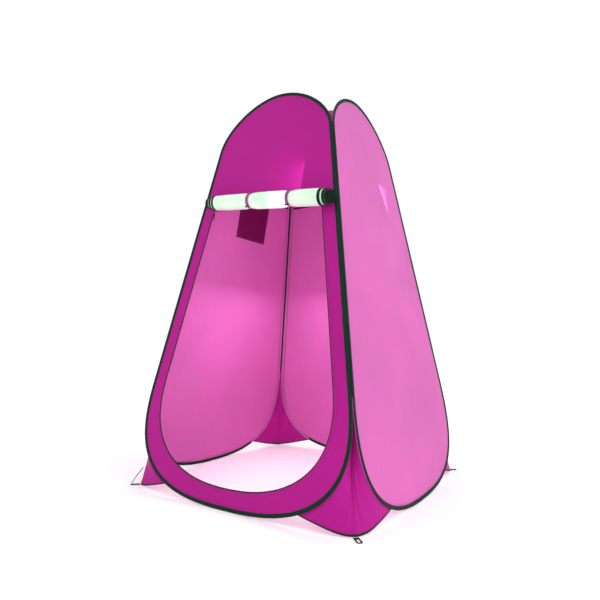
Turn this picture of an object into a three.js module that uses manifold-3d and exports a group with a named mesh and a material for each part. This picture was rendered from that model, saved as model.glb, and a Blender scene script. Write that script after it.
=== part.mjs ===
// Pop-up privacy shower tent.
//
// Four spring-steel hoops, each sewn into the dark binding of one wall, stand as a tapering
// square tower. Below and above the sewn corner seams the hoops curve away from each other, and
// corner gussets and a roof panel fill the spaces. The front wall has a door opening with a zip,
// and the door itself is rolled up across the front and held by two ties.
//
// Units are millimetres. +Z is up, the front wall faces -Y, and the origin is on the floor under
// the middle of the tent. Each wall is made in its own flat coordinates: x across the wall as
// seen from outside, y up the slope of the wall from the floor, z outwards.

import * as THREE from 'three';
import Module from 'manifold-3d';
import { mergeVertices } from 'three/addons/utils/BufferGeometryUtils.js';

const wasm = await Module();
wasm.setup();

// ---------------------------------------------------------------- driving dimensions

const HEIGHT = 1900;
const BASE_HALF = 620; // wall plane to tent centre at the floor
const TOP_HALF = 290; // wall plane to tent centre at the full height
const CLOTH = 1.2; // thickness given to every sheet of cloth
const GAP = 0.5; // running gap between neighbouring pieces

const LEAN = Math.atan((BASE_HALF - TOP_HALF) / HEIGHT);
const SLOPE_LENGTH = HEIGHT / Math.cos(LEAN);

const HOOP = {
  wireRadius: 1.5,
  edgeGap: 6.5, // wire centre to the line where two wall planes meet
  openEdgeGap: 13.5, // the same at the back left corner, which has no hinge
  beadOut: 4.8, // how far the binding reaches outside the wire centre
  flange: 11, // how far the binding reaches inside the wire centre
  lowArc: { height: 508, exponent: 2.65, steps: 10 },
  highArc: { height: 1684, exponent: 1.92, steps: 9 },
  straightHalf: 30, // straight length each side of the wire joint
  jointGap: 0.5,
  ferruleLength: 42,
  ferruleOuter: 2.45,
  ferruleInner: 1.95,
};

const DOOR = {
  inset: 78, // wall plane edge to the side edge of the opening
  bottom: 82,
  arcTop: 520,
  exponent: 2.3,
  top: 1348,
  steps: 9,
};

const ROLL = {
  centreX: 42,
  centreY: 1338,
  tilt: THREE.MathUtils.degToRad(-6.1),
  half: 358,
  standOff: 43.5, // axis of the roll to the wall's middle plane
  clothHalf: 297,
  tieAt: [-83, 141],
  tieWidth: 15,
  tieRadius: 34.2,
};

const GUSSET = {
  foot: 565, // distance of each foot from the tent's centre planes
  clearance: 0.9, // between the gusset and the hoop's binding
  seamOffset: 8, // the gusset starts where the hoop is this far from the corner line
  hemX: 348, // where the hem meets the hoop
  hemStep: 4, // the cloth ends this much further out than the hem
  hemHeight: 8,
  hemThick: 2.4,
  bow: 18, // how far the fold hangs inwards between the foot and the seam
};

const POCKET = { width: 250, height: 250, top: 1535, mouth: 14, toe: 4, shift: -14, ply: 1 };
const HANGING_TAPE = { y: 1550, width: 12, thick: 1.2 };
const ROOF = { lift: 3.0, sag: 14 };
const STAKE_LOOP = { length: 47, width: 22, webbing: 5.5, sewn: 12, thick: 2 };
const RAISED_LOOP = { tab: 43, tabWidth: 12, length: 96, lean: 55, eye: [22, 62] };

const SIDES = ['front', 'right', 'back', 'left']; // in quarter turns about +Z
const CORNERS = ['front_right', 'back_right', 'back_left', 'front_left'];
const OPEN_CORNER = 'back_left';

// ---------------------------------------------------------------- materials

const finish = (color, roughness, metalness = 0) =>
  new THREE.MeshStandardMaterial({ color, roughness, metalness });

const MATERIAL = {
  cloth: finish(0xc4359a, 0.75),
  binding: finish(0x0e3b2c, 0.7),
  steel: finish(0x8c9096, 0.35, 0.9),
  lining: finish(0xe2f7e2, 0.55),
  zip: finish(0x0b2f22, 0.6),
  slider: finish(0x2a2d2c, 0.35, 0.6),
  pocket: finish(0x6e0050, 0.8),
  tie: finish(0xa0508c, 0.75),
  webbing: finish(0x15302a, 0.8),
};

// ---------------------------------------------------------------- geometry helpers

const v2 = (x, y) => new THREE.Vector2(x, y);

/** Half width of a wall at a distance up its slope. */
const halfWidthAt = (y) => BASE_HALF - y * Math.sin(LEAN);

/** A path that is visited station by station, at the spacing of the stations. */
class StationPath extends THREE.Curve {
  constructor(stations) {
    super();
    this.stations = stations;
    this.last = stations.length - 1;
  }
  getPoint(t) {
    return this.stations[Math.round(t * this.last)].clone();
  }
  getPointAt(t) {
    return this.getPoint(t);
  }
  getTangentAt(t) {
    const i = Math.round(t * this.last);
    const before = this.direction(Math.max(i - 1, 0));
    return before.add(this.direction(Math.min(i, this.last - 1))).normalize();
  }
  direction(i) {
    return this.stations[i + 1].clone().sub(this.stations[i]).normalize();
  }
}

/** Sweeps a closed section along flat stations. Section x is inwards (-z), y to the left. */
function sweep(section, stations) {
  const path = new StationPath(stations.map((p) => new THREE.Vector3(p.x, p.y, p.z ?? 0)));
  return new THREE.ExtrudeGeometry(new THREE.Shape(section), {
    steps: path.last,
    extrudePath: path,
  });
}

/** A flat plate of a 2-D outline, centred on z = middle. */
function plate(outline, thick, middle = 0, holes = []) {
  const shape = new THREE.Shape(outline);
  for (const hole of holes) shape.holes.push(new THREE.Path(hole));
  const geometry = new THREE.ExtrudeGeometry(shape, { depth: thick, bevelEnabled: false });
  return geometry.translate(0, 0, middle - thick / 2);
}

/** Points of a circle or part of one, counter-clockwise. */
function arcPoints(radius, from, to, steps, cx = 0, cy = 0) {
  return Array.from({ length: steps + 1 }, (_, i) => {
    const a = from + ((to - from) * i) / steps;
    return v2(cx + radius * Math.cos(a), cy + radius * Math.sin(a));
  });
}

const circle = (radius, steps) => arcPoints(radius, 0, 2 * Math.PI, steps).slice(0, -1);

/** Moves a polyline sideways, to the left of its direction for a positive distance. */
function offsetLine(points, distance, closed = false) {
  const n = points.length;
  return points.map((p, i) => {
    const before = closed ? points[(i - 1 + n) % n] : points[Math.max(i - 1, 0)];
    const after = closed ? points[(i + 1) % n] : points[Math.min(i + 1, n - 1)];
    const into = p.clone().sub(before).normalize();
    const out = after.clone().sub(p).normalize();
    const along = into.add(out).normalize();
    return v2(p.x - along.y * distance, p.y + along.x * distance);
  });
}

/** A superellipse quarter between a side height and a centre height, from the side inwards. */
function quarter(sideY, centreY, exponent, steps, halfAt) {
  return Array.from({ length: steps }, (_, i) => {
    const t = (Math.PI / 2) * (i / steps);
    const y = sideY + (centreY - sideY) * Math.sin(t) ** (2 / exponent);
    return v2(halfAt(y) * Math.cos(t) ** (2 / exponent), y);
  });
}

const mirrored = (points) => points.map((p) => v2(-p.x, p.y)).reverse();

/** A closed thin shell from a grid of points, half of its thickness to each side. */
function shellFromGrid(grid, thick) {
  const rows = grid.length;
  const cols = grid[0].length;
  const normalAt = (i, j) => {
    const across = grid[i][Math.min(j + 1, cols - 1)].clone().sub(grid[i][Math.max(j - 1, 0)]);
    const along = grid[Math.min(i + 1, rows - 1)][j].clone().sub(grid[Math.max(i - 1, 0)][j]);
    return across.cross(along).normalize();
  };
  const layer = (side) =>
    grid.flatMap((row, i) =>
      row.map((p, j) => p.clone().addScaledVector(normalAt(i, j), (side * thick) / 2)),
    );
  const points = [...layer(1), ...layer(-1)];
  const top = (i, j) => i * cols + j;
  const low = (i, j) => rows * cols + i * cols + j;
  const index = [];
  const quad = (a, b, c, d) => index.push(a, b, c, a, c, d);
  for (let i = 0; i + 1 < rows; i++) {
    for (let j = 0; j + 1 < cols; j++) {
      quad(top(i, j), top(i, j + 1), top(i + 1, j + 1), top(i + 1, j));
      index.push(low(i, j), low(i + 1, j + 1), low(i, j + 1));
      index.push(low(i, j), low(i + 1, j), low(i + 1, j + 1));
    }
  }
  for (let j = 0; j + 1 < cols; j++) {
    quad(top(0, j + 1), top(0, j), low(0, j), low(0, j + 1));
    quad(top(rows - 1, j), top(rows - 1, j + 1), low(rows - 1, j + 1), low(rows - 1, j));
  }
  for (let i = 0; i + 1 < rows; i++) {
    quad(top(i, 0), top(i + 1, 0), low(i + 1, 0), low(i, 0));
    quad(top(i + 1, cols - 1), top(i, cols - 1), low(i, cols - 1), low(i + 1, cols - 1));
  }
  const geometry = new THREE.BufferGeometry().setFromPoints(points);
  geometry.setIndex(index);
  return geometry;
}

/** The solid that a closed geometry bounds. */
function solidOf(geometry) {
  const bare = geometry.clone();
  bare.deleteAttribute('normal');
  bare.deleteAttribute('uv');
  const merged = mergeVertices(bare);
  return new wasm.Manifold(
    new wasm.Mesh({
      numProp: 3,
      vertProperties: new Float32Array(merged.attributes.position.array),
      triVerts: new Uint32Array(merged.index.array),
    }),
  );
}

/** The geometry of a solid. */
function geometryOf(solid) {
  const { vertProperties, triVerts } = solid.getMesh();
  const geometry = new THREE.BufferGeometry();
  geometry.setAttribute('position', new THREE.BufferAttribute(vertProperties, 3));
  geometry.setIndex(new THREE.BufferAttribute(triVerts, 1));
  return geometry;
}

function named(name, geometry, material) {
  const mesh = new THREE.Mesh(geometry, material);
  mesh.name = name;
  return mesh;
}

// ---------------------------------------------------------------- walls and hoops

/** Distance from the wire to the corner line on the +x and the -x edge of each wall. */
const edgeGaps = {
  front: [HOOP.edgeGap, HOOP.edgeGap],
  right: [HOOP.edgeGap, HOOP.edgeGap],
  back: [HOOP.openEdgeGap, HOOP.edgeGap],
  left: [HOOP.edgeGap, HOOP.openEdgeGap],
};

/** Half of a hoop's wire line, from beside the bottom centre up to the top centre. */
function halfHoop(edgeGap) {
  const halfAt = (y) => halfWidthAt(y) - edgeGap;
  const { lowArc, highArc, beadOut } = HOOP;
  const low = quarter(lowArc.height, beadOut, lowArc.exponent, lowArc.steps, halfAt);
  const topY = SLOPE_LENGTH - beadOut;
  const high = quarter(highArc.height, topY, highArc.exponent, highArc.steps, halfAt);
  return [
    v2(HOOP.jointGap, beadOut),
    v2(HOOP.straightHalf, beadOut),
    ...low.reverse(),
    ...high,
    v2(0, topY),
  ];
}

/** A whole hoop's wire line, counter-clockwise from the bottom centre. */
function hoopLine(side) {
  const [plus, minus] = edgeGaps[side];
  return [...halfHoop(plus), ...mirrored(halfHoop(minus)).slice(1)];
}

/** Binding tape folded round the wire: a bead with an open slot that takes the wall cloth. */
function bindingSection() {
  const upper = [
    [0, -HOOP.beadOut],
    [4.7, -0.9],
    [1.7, 4.6],
    [1.6, HOOP.flange],
    [0.9, HOOP.flange],
    [0.9, 4.1],
    [3.7, -1],
    [0, -3.6],
  ];
  const lower = upper.slice(1, -1).map(([x, y]) => [-x, y]);
  return [...upper, ...lower.reverse()].map(([x, y]) => v2(x, y));
}

function ferrule() {
  const ring = new THREE.Shape(circle(HOOP.ferruleOuter, 10));
  ring.holes.push(new THREE.Path(circle(HOOP.ferruleInner, 10)));
  const tube = new THREE.ExtrudeGeometry(ring, {
    depth: HOOP.ferruleLength,
    bevelEnabled: false,
  });
  return tube
    .translate(0, 0, -HOOP.ferruleLength / 2)
    .rotateY(Math.PI / 2)
    .translate(0, HOOP.beadOut, 0);
}

/** Edge of the door opening from its top left corner, round the bottom, to its top right. */
function doorOutline(top = DOOR.top) {
  const halfAt = (y) => halfWidthAt(y) - DOOR.inset;
  const low = quarter(DOOR.arcTop, DOOR.bottom, DOOR.exponent, DOOR.steps, halfAt);
  const rightSide = [v2(0, DOOR.bottom), ...low.reverse(), v2(halfAt(top), top)];
  return [...mirrored(rightSide), ...rightSide.slice(1)];
}

function wallPlate(side) {
  const outline = offsetLine(hoopLine(side), GAP + 4.7, true);
  return plate(outline, CLOTH, 0, side === 'front' ? [doorOutline()] : []);
}

function wallMeshes(side) {
  const line = hoopLine(side);
  return [
    named(`${side}_wall`, wallPlate(side), MATERIAL.cloth),
    named(`${side}_hoop_binding`, sweep(bindingSection(), line), MATERIAL.binding),
    named(`${side}_hoop_wire`, sweep(circle(HOOP.wireRadius, 6), line), MATERIAL.steel),
    named(`${side}_wire_ferrule`, ferrule(), MATERIAL.steel),
  ];
}

// ---------------------------------------------------------------- door, zip, roll and ties

const rectangle = (x0, y0, x1, y1) => [v2(x0, y0), v2(x1, y0), v2(x1, y1), v2(x0, y1)];

/** Zip tape on the outer face beside the opening, and the teeth along the opening's edge. */
function zipMeshes() {
  const tape = sweep(rectangle(-1.7, -13, -0.9, -1.2), doorOutline());
  const teeth = sweep(rectangle(-1.3, 0.8, 1.3, 3.6), doorOutline(DOOR.top - 3));
  return [
    named('door_zip_tape', tape, MATERIAL.zip),
    named('door_zip_teeth', teeth, MATERIAL.zip),
  ];
}

/** Slider that wraps the teeth on one side edge of the opening. Its pull hangs down inside. */
function sliderMeshes(side) {
  const half = halfWidthAt(DOOR.top) - DOOR.inset;
  const group = new THREE.Group();
  group.position.set(side * half, DOOR.top, 0);
  group.rotation.z = side * Math.atan(Math.sin(LEAN));
  const name = side < 0 ? 'left' : 'right';
  const channel = [
    [0.2, -2.9],
    [5.4, -2.9],
    [5.4, 2.9],
    [0.2, 2.9],
    [0.2, 1.9],
    [4.1, 1.9],
    [4.1, -1.9],
    [0.2, -1.9],
  ].map(([x, z]) => v2(-side * x, z));
  const body = new THREE.ExtrudeGeometry(new THREE.Shape(channel), {
    depth: 13,
    bevelEnabled: false,
  });
  body.rotateX(Math.PI / 2).translate(0, -5, 0);
  const pull = named(`zip_pull_${name}`, plate(rectangle(-2.6, -30, 2.6, 0), 1.4), MATERIAL.slider);
  pull.position.set(-side * 2.8, -8, -4);
  pull.rotation.x = LEAN;
  group.add(named(`zip_slider_${name}`, body, MATERIAL.slider), pull);
  return group;
}

/** A solid of revolution about the roll's axis from [radius, distance along] pairs. */
function turned(profile, segments = 18) {
  const ends = [v2(0, profile[0][1]), ...profile.map(([r, s]) => v2(r, s))];
  ends.push(v2(0, profile.at(-1)[1]));
  return new THREE.LatheGeometry(ends, segments).rotateZ(-Math.PI / 2);
}

/** Tie strap: once round the roll, with a tail sewn to the wall above. */
function tieStrap() {
  const inner = ROLL.tieRadius + GAP;
  const outer = inner + CLOTH;
  const back = ROLL.standOff - outer * Math.cos(0.16);
  const outline = [
    ...arcPoints(outer, -Math.PI + 0.16, Math.PI - 0.16, 18, ROLL.standOff, 0),
    v2(back, 72),
    v2(back - CLOTH, 72),
    v2(back - CLOTH, -6),
  ];
  const shape = new THREE.Shape(outline);
  shape.holes.push(new THREE.Path(arcPoints(inner, 0, 2 * Math.PI, 18, ROLL.standOff, 0)));
  const strap = new THREE.ExtrudeGeometry(shape, { depth: ROLL.tieWidth, bevelEnabled: false });
  return strap.translate(0, 0, -ROLL.tieWidth / 2).rotateY(-Math.PI / 2);
}

/** Toggle that closes a tie, lying along the roll below its front. */
function toggle() {
  const pin = turned([[2.2, -11], [3.4, -8], [3.4, 8], [2.2, 11]], 10);
  const reach = ROLL.tieRadius + 8.5;
  const angle = THREE.MathUtils.degToRad(-62);
  return pin.translate(0, reach * Math.sin(angle), ROLL.standOff + reach * Math.cos(angle));
}

function rollGroup() {
  const group = new THREE.Group();
  group.position.set(ROLL.centreX, ROLL.centreY, 0);
  group.rotation.z = ROLL.tilt;
  const [tieA, tieB] = ROLL.tieAt;
  const flat = ROLL.tieWidth / 2 + 1.5;
  const waist = ROLL.tieRadius;
  const cloth = turned([
    [34.5, -ROLL.clothHalf],
    [37.5, -200],
    [waist, tieA - flat],
    [waist, tieA + flat],
    [38.5, 0],
    [39, 60],
    [waist, tieB - flat],
    [waist, tieB + flat],
    [38, 220],
    [36.5, ROLL.clothHalf],
  ]);
  const start = ROLL.clothHalf + GAP;
  const leftEdge = turned([[26, -ROLL.half], [31, -ROLL.half + 8], [34, -start]]);
  const rightEdge = turned([[36, start], [34, ROLL.half - 10], [27, ROLL.half]]);
  for (const mesh of [
    named('door_roll', cloth, MATERIAL.lining),
    named('door_roll_zip_edge_left', leftEdge, MATERIAL.zip),
    named('door_roll_zip_edge_right', rightEdge, MATERIAL.zip),
  ]) {
    mesh.position.z = ROLL.standOff;
    group.add(mesh);
  }
  ['left', 'right'].forEach((name, i) => {
    const strap = named(`door_tie_${name}`, tieStrap(), MATERIAL.tie);
    const pin = named(`tie_toggle_${name}`, toggle(), MATERIAL.slider);
    strap.position.x = ROLL.tieAt[i];
    pin.position.x = ROLL.tieAt[i];
    group.add(strap, pin);
  });
  return group;
}

// ---------------------------------------------------------------- inside fittings

/** Tape sewn across the inside of a wall, from binding to binding. */
function hangingTape() {
  const half = halfWidthAt(HANGING_TAPE.y) - HOOP.openEdgeGap - HOOP.flange - 14;
  const low = HANGING_TAPE.y - HANGING_TAPE.width / 2;
  const outline = rectangle(-half, low, half, low + HANGING_TAPE.width);
  return plate(outline, HANGING_TAPE.thick, -(CLOTH + HANGING_TAPE.thick) / 2 - GAP);
}

/** Side outline of the pocket or of the room in it: [depth, height] from the wall. */
function wedge(width, toe, mouth, low, high) {
  const outline = [v2(0, low), v2(toe, low), v2(mouth, high), v2(0, high)];
  const solid = new THREE.ExtrudeGeometry(new THREE.Shape(outline), {
    depth: width,
    bevelEnabled: false,
  });
  return solid.translate(0, 0, -width / 2).rotateY(Math.PI / 2);
}

/** Pocket on the inside of the left wall: a flat pouch whose mouth stands open at the top. */
function pocket() {
  const { width, height, top, mouth, toe, shift, ply } = POCKET;
  const outer = wedge(width, toe, mouth, top - height, top);
  const room = wedge(
    width - 2 * ply,
    toe - 2 * ply,
    mouth - 2 * ply,
    top - height + ply,
    top + 0.01,
  ).translate(0, 0, -ply);
  const pouch = geometryOf(solidOf(outer).subtract(solidOf(room)));
  return pouch.translate(shift, 0, -CLOTH / 2 - GAP);
}

// ---------------------------------------------------------------- gussets, roof and feet

/** The frame of one wall, turned about the tent's centre and leaning inwards. */
function wallFrame(side) {
  const facing = new THREE.Group();
  facing.rotation.z = (SIDES.indexOf(side) * Math.PI) / 2;
  const leaning = new THREE.Group();
  leaning.position.y = -BASE_HALF;
  leaning.rotation.x = Math.PI / 2 - LEAN;
  facing.add(leaning);
  facing.updateMatrixWorld(true);
  return { facing, leaning, toTent: (x, y) => leaning.localToWorld(new THREE.Vector3(x, y, 0)) };
}

const frames = Object.fromEntries(SIDES.map((side) => [side, wallFrame(side)]));

/** The two walls of a corner: its +x edge belongs to the first, its -x edge to the second. */
const wallsAt = (corner) => {
  const i = CORNERS.indexOf(corner);
  return [SIDES[i], SIDES[(i + 1) % 4]];
};

/** Half of a hoop's line, moved outwards until it clears the binding by the given distance. */
function lineBesideHoop(side, edge, clearance) {
  const gap = edgeGaps[side][edge > 0 ? 0 : 1];
  return offsetLine(halfHoop(gap), -(HOOP.beadOut + clearance));
}

/** Whether a point beside a hoop has left the corner seam far enough for cloth to start. */
const isClearOfSeam = (p) => halfWidthAt(p.y) - p.x > GUSSET.seamOffset - 2;

/** Points beside a hoop's low arc, from the seam down to a given distance from the middle. */
function lowArcPoints(side, edge, lastX) {
  const line = lineBesideHoop(side, edge, GUSSET.clearance);
  const kept = line.filter((p) => p.y < HOOP.lowArc.height - 1 && p.x > lastX && isClearOfSeam(p));
  return [...kept.reverse(), pointAtX(line, lastX)].map((p) => {
    return frames[side].toTent(edge * p.x, p.y);
  });
}

/** Points beside a hoop's high arc, from the seam up to the top centre. */
function highArcPoints(side, edge) {
  const line = lineBesideHoop(side, edge, ROOF.lift);
  const kept = line.filter((p) => p.y > HOOP.highArc.height + 1 && isClearOfSeam(p));
  return kept.map((p) => frames[side].toTent(edge * p.x, p.y));
}

/** The point of a rising half-hoop line at a given x on its low arc. */
function pointAtX(line, x) {
  const i = line.findIndex((p) => p.x > x);
  const [a, b] = [line[i - 1], line[i]];
  return a.clone().lerp(b, (x - a.x) / (b.x - a.x));
}

/** Signs of x and y at a corner. */
const cornerSigns = (corner) => [
  corner.endsWith('right') ? 1 : -1,
  corner.startsWith('back') ? 1 : -1,
];

/** Gusset: cloth from one hoop's low arc, over a fold that runs down to the foot, to the next. */
function gusset(corner) {
  const [first, second] = wallsAt(corner);
  const lastX = GUSSET.hemX + GUSSET.hemStep;
  const left = lowArcPoints(first, 1, lastX);
  const right = lowArcPoints(second, -1, lastX);
  const [sx, sy] = cornerSigns(corner);
  const topZ = left[0].z;
  const hemZ = left.at(-1).z;
  const halfTop = BASE_HALF - topZ * Math.tan(LEAN) - 1.5;
  const grid = left.map((a, i) => {
    const share = (a.z - hemZ) / (topZ - hemZ);
    const bow = GUSSET.bow * Math.sin(Math.PI * share);
    const half = GUSSET.foot + (halfTop - GUSSET.foot) * share - bow;
    const z = GUSSET.hemHeight + 1 + (topZ - GUSSET.hemHeight - 1) * share;
    const fold = new THREE.Vector3(sx * half, sy * half, z);
    const b = right[i];
    return [a, a.clone().lerp(fold, 0.5), fold, fold.clone().lerp(b, 0.5), b];
  });
  return shellFromGrid(grid, CLOTH);
}

/** Hem tape along the lower edge of a gusset, from hoop to foot to hoop. */
function gussetHem(corner) {
  const [first, second] = wallsAt(corner);
  const a = lowArcPoints(first, 1, GUSSET.hemX).at(-1);
  const b = lowArcPoints(second, -1, GUSSET.hemX).at(-1);
  const [sx, sy] = cornerSigns(corner);
  const foot = new THREE.Vector3(sx * GUSSET.foot, sy * GUSSET.foot, GUSSET.hemHeight);
  const rows = [a, foot, b].map((p) => [p, p.clone().setZ(p.z - GUSSET.hemHeight)]);
  return shellFromGrid(rows, GUSSET.hemThick);
}

/** Roof: a sheet that spans the four high arcs and sags a little in the middle. */
function roof() {
  const wholeArc = (side) => [
    ...highArcPoints(side, -1),
    ...highArcPoints(side, 1).slice(0, -1).reverse(),
  ];
  const front = wholeArc('front');
  const right = wholeArc('right');
  const back = wholeArc('back').reverse();
  const left = wholeArc('left').reverse();
  const last = front.length - 1;
  const grid = front.map((_, j) =>
    front.map((__, i) => {
      const [u, v] = [i / last, j / last];
      const [du, dv] = [u * (1 - u), v * (1 - v)];
      const alongY = front[i].clone().lerp(back[i], v);
      const alongX = left[j].clone().lerp(right[j], u);
      const point = alongX.lerp(alongY, du + dv === 0 ? 0.5 : du / (du + dv));
      return point.setZ(point.z - ROOF.sag * (16 * du * dv) ** 2);
    }),
  );
  return shellFromGrid(grid.reverse(), CLOTH);
}

/** Webbing loop at a foot, flat, with its sewn end at the origin and pointing along +x. */
function stakeLoop() {
  const { length, width, webbing, sewn, thick } = STAKE_LOOP;
  const outline = rectangle(0, -width / 2, length, width / 2);
  const eye = rectangle(sewn, -width / 2 + webbing, length - webbing, width / 2 - webbing);
  return plate(outline, thick, 0, [eye]);
}

/** The front left loop: a tab out along the floor, and the loop standing up and leaning back. */
function raisedLoop() {
  const { width, webbing, thick } = STAKE_LOOP;
  const { tab, tabWidth, length, lean, eye } = RAISED_LOOP;
  const flat = plate(rectangle(0, -tabWidth / 2, tab, tabWidth / 2), thick);
  const outline = rectangle(0, -width / 2, length, width / 2);
  const slit = rectangle(eye[0], -width / 2 + webbing, eye[1], width / 2 - webbing);
  const standing = plate(outline, thick, 0, [slit])
    .rotateY(THREE.MathUtils.degToRad(lean - 180))
    .translate(tab - thick / 2, 0, 0);
  return geometryOf(solidOf(flat).add(solidOf(standing)).trimByPlane([0, 0, 1], -thick / 2));
}

function stakeLoopMesh(corner) {
  const geometry = corner === 'front_left' ? raisedLoop() : stakeLoop();
  const mesh = named(`${corner}_stake_loop`, geometry, MATERIAL.webbing);
  const [sx, sy] = cornerSigns(corner);
  const reach = GUSSET.foot + 3;
  mesh.position.set(sx * reach, sy * reach, STAKE_LOOP.thick / 2);
  mesh.rotation.z = Math.atan2(sy, sx);
  return mesh;
}

// ---------------------------------------------------------------- the tent

const tent = new THREE.Group();

for (const side of SIDES) {
  const { facing, leaning } = frames[side];
  leaning.add(...wallMeshes(side));
  tent.add(facing);
}

frames.front.leaning.add(...zipMeshes(), sliderMeshes(-1), sliderMeshes(1), rollGroup());
frames.left.leaning.add(named('inner_pocket', pocket(), MATERIAL.pocket));
for (const side of ['right', 'back', 'left']) {
  frames[side].leaning.add(named(`${side}_hanging_tape`, hangingTape(), MATERIAL.cloth));
}

for (const corner of CORNERS) {
  tent.add(
    named(`${corner}_gusset`, gusset(corner), MATERIAL.cloth),
    named(`${corner}_gusset_hem`, gussetHem(corner), MATERIAL.binding),
    stakeLoopMesh(corner),
  );
}

tent.add(named('roof_panel', roof(), MATERIAL.cloth));

export default tent;
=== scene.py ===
"""Pop-up privacy shower tent: cloth, bindings, zip, rolled door, pocket and fittings.

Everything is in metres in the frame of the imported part: +Z is up, the front wall faces -Y and the
origin is on the floor under the middle of the tent. Each wall is worked in its own plane: x across
the wall as seen from outside, y up its slope from the floor and z outwards.
"""

import logging
import math
from collections.abc import Sequence
from dataclasses import dataclass, field
from enum import Enum

import bpy
import numpy as np
from mathutils import Matrix, Vector, noise


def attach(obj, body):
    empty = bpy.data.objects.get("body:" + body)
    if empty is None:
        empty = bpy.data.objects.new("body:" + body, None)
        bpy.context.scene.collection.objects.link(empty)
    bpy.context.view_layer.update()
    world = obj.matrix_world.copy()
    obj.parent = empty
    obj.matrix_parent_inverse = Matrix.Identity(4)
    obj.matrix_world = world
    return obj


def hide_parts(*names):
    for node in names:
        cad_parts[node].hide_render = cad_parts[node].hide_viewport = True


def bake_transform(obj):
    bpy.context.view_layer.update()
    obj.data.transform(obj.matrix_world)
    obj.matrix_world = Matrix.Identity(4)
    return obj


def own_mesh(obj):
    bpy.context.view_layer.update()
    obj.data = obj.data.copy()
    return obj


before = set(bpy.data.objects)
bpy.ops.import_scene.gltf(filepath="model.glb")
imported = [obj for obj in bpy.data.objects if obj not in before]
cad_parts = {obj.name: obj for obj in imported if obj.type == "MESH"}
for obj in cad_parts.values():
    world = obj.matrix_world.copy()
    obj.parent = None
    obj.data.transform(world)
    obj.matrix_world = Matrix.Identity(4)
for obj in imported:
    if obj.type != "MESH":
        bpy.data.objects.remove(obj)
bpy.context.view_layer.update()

LOG = logging.getLogger("shower_tent")
Colour = tuple[float, float, float]


# ---------------------------------------------------------------- sizes of the tent


@dataclass(frozen=True)
class TentSizes:
    """Sizes that the whole tent shares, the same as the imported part's."""

    height: float = 1.9
    base_half: float = 0.62
    top_half: float = 0.29
    cloth: float = 0.0012
    edge_gap: float = 0.0065
    open_edge_gap: float = 0.0135
    bead_out: float = 0.0048
    low_arc: tuple[float, float] = (0.508, 2.65)
    high_arc: tuple[float, float] = (1.684, 1.92)
    hem_x: float = 0.348
    foot: float = 0.565

    @property
    def lean(self) -> float:
        """Angle of the walls from upright, in radians."""
        return math.atan((self.base_half - self.top_half) / self.height)

    @property
    def slope(self) -> float:
        """Length of a wall up its slope."""
        return self.height / math.cos(self.lean)

    def half_width(self, y: float) -> float:
        """Half width of a wall at a distance up its slope."""
        return self.base_half - y * math.sin(self.lean)


TENT = TentSizes()


class Side(Enum):
    """The four walls, in quarter turns about +Z from the front."""

    FRONT = 0
    RIGHT = 1
    BACK = 2
    LEFT = 3

    @property
    def label(self) -> str:
        """The wall's name in node and body names."""
        return self.name.lower()

    @property
    def body(self) -> str:
        """The rigid body that the wall belongs to."""
        return f"{self.label}_wall"

    @property
    def next(self) -> "Side":
        """The wall on this wall's +x edge."""
        return Side((self.value + 1) % 4)

    def place(self, points: np.ndarray) -> np.ndarray:
        """Moves points from the wall's own plane into the tent's frame.

        Args:
            points: Array whose last axis is x across, y up the slope and z outwards.

        Returns:
            The same points in the tent's frame.
        """
        p = np.asarray(points, float)
        sin, cos = math.sin(TENT.lean), math.cos(TENT.lean)
        x = p[..., 0]
        y = -TENT.base_half + p[..., 1] * sin - p[..., 2] * cos
        z = p[..., 1] * cos + p[..., 2] * sin
        for _ in range(self.value):
            x, y = -y, x
        return np.stack([x, y, z], axis=-1)

    def outwards(self) -> np.ndarray:
        """The wall's outward direction in the tent's frame."""
        return self.place(np.array([0.0, 0.0, 1.0])) - self.place(np.zeros(3))


class Corner(Enum):
    """The four corners, each named after the walls that meet there."""

    FRONT_RIGHT = Side.FRONT
    BACK_RIGHT = Side.RIGHT
    BACK_LEFT = Side.BACK
    FRONT_LEFT = Side.LEFT

    @property
    def label(self) -> str:
        """The corner's name in node names."""
        return self.name.lower()

    @property
    def walls(self) -> tuple[Side, Side]:
        """The wall whose +x edge is here, and the one whose -x edge is."""
        return self.value, self.value.next

    @property
    def signs(self) -> np.ndarray:
        """Signs of x and y at the corner, and 1 for z."""
        return np.array([
            1.0 if self.name.endswith("RIGHT") else -1.0,
            1.0 if self.name.startswith("BACK") else -1.0,
            1.0,
        ])


# ---------------------------------------------------------------- mesh helpers


def noise_at(points: np.ndarray, scale: Sequence[float], seed: float) -> np.ndarray:
    """Smooth noise between about -1 and 1 at every point.

    Args:
        points: Array of points with three numbers each.
        scale: Size of a noise feature along each axis.
        seed: Offset that gives each use its own pattern.

    Returns:
        One number for each point.
    """
    flat = np.asarray(points, float).reshape(-1, 3) / np.asarray(scale, float) + seed
    values = [noise.noise(Vector(p)) for p in flat]
    return np.array(values).reshape(np.asarray(points).shape[:-1])


def unit(vectors: np.ndarray) -> np.ndarray:
    """The same vectors at length one."""
    length = np.linalg.norm(vectors, axis=-1, keepdims=True)
    return vectors / np.maximum(length, 1e-12)


def grid_normals(points: np.ndarray, wrap_rows: bool, wrap_cols: bool) -> np.ndarray:
    """Normals of a grid of points, from its neighbours along rows and columns."""

    def slope_along(axis: int, wrap: bool) -> np.ndarray:
        """Step between the neighbours of each point along one axis of the grid."""
        if wrap:
            return np.roll(points, -1, axis) - np.roll(points, 1, axis)
        return np.gradient(points, axis=axis)

    return unit(np.cross(slope_along(1, wrap_cols), slope_along(0, wrap_rows)))


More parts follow.
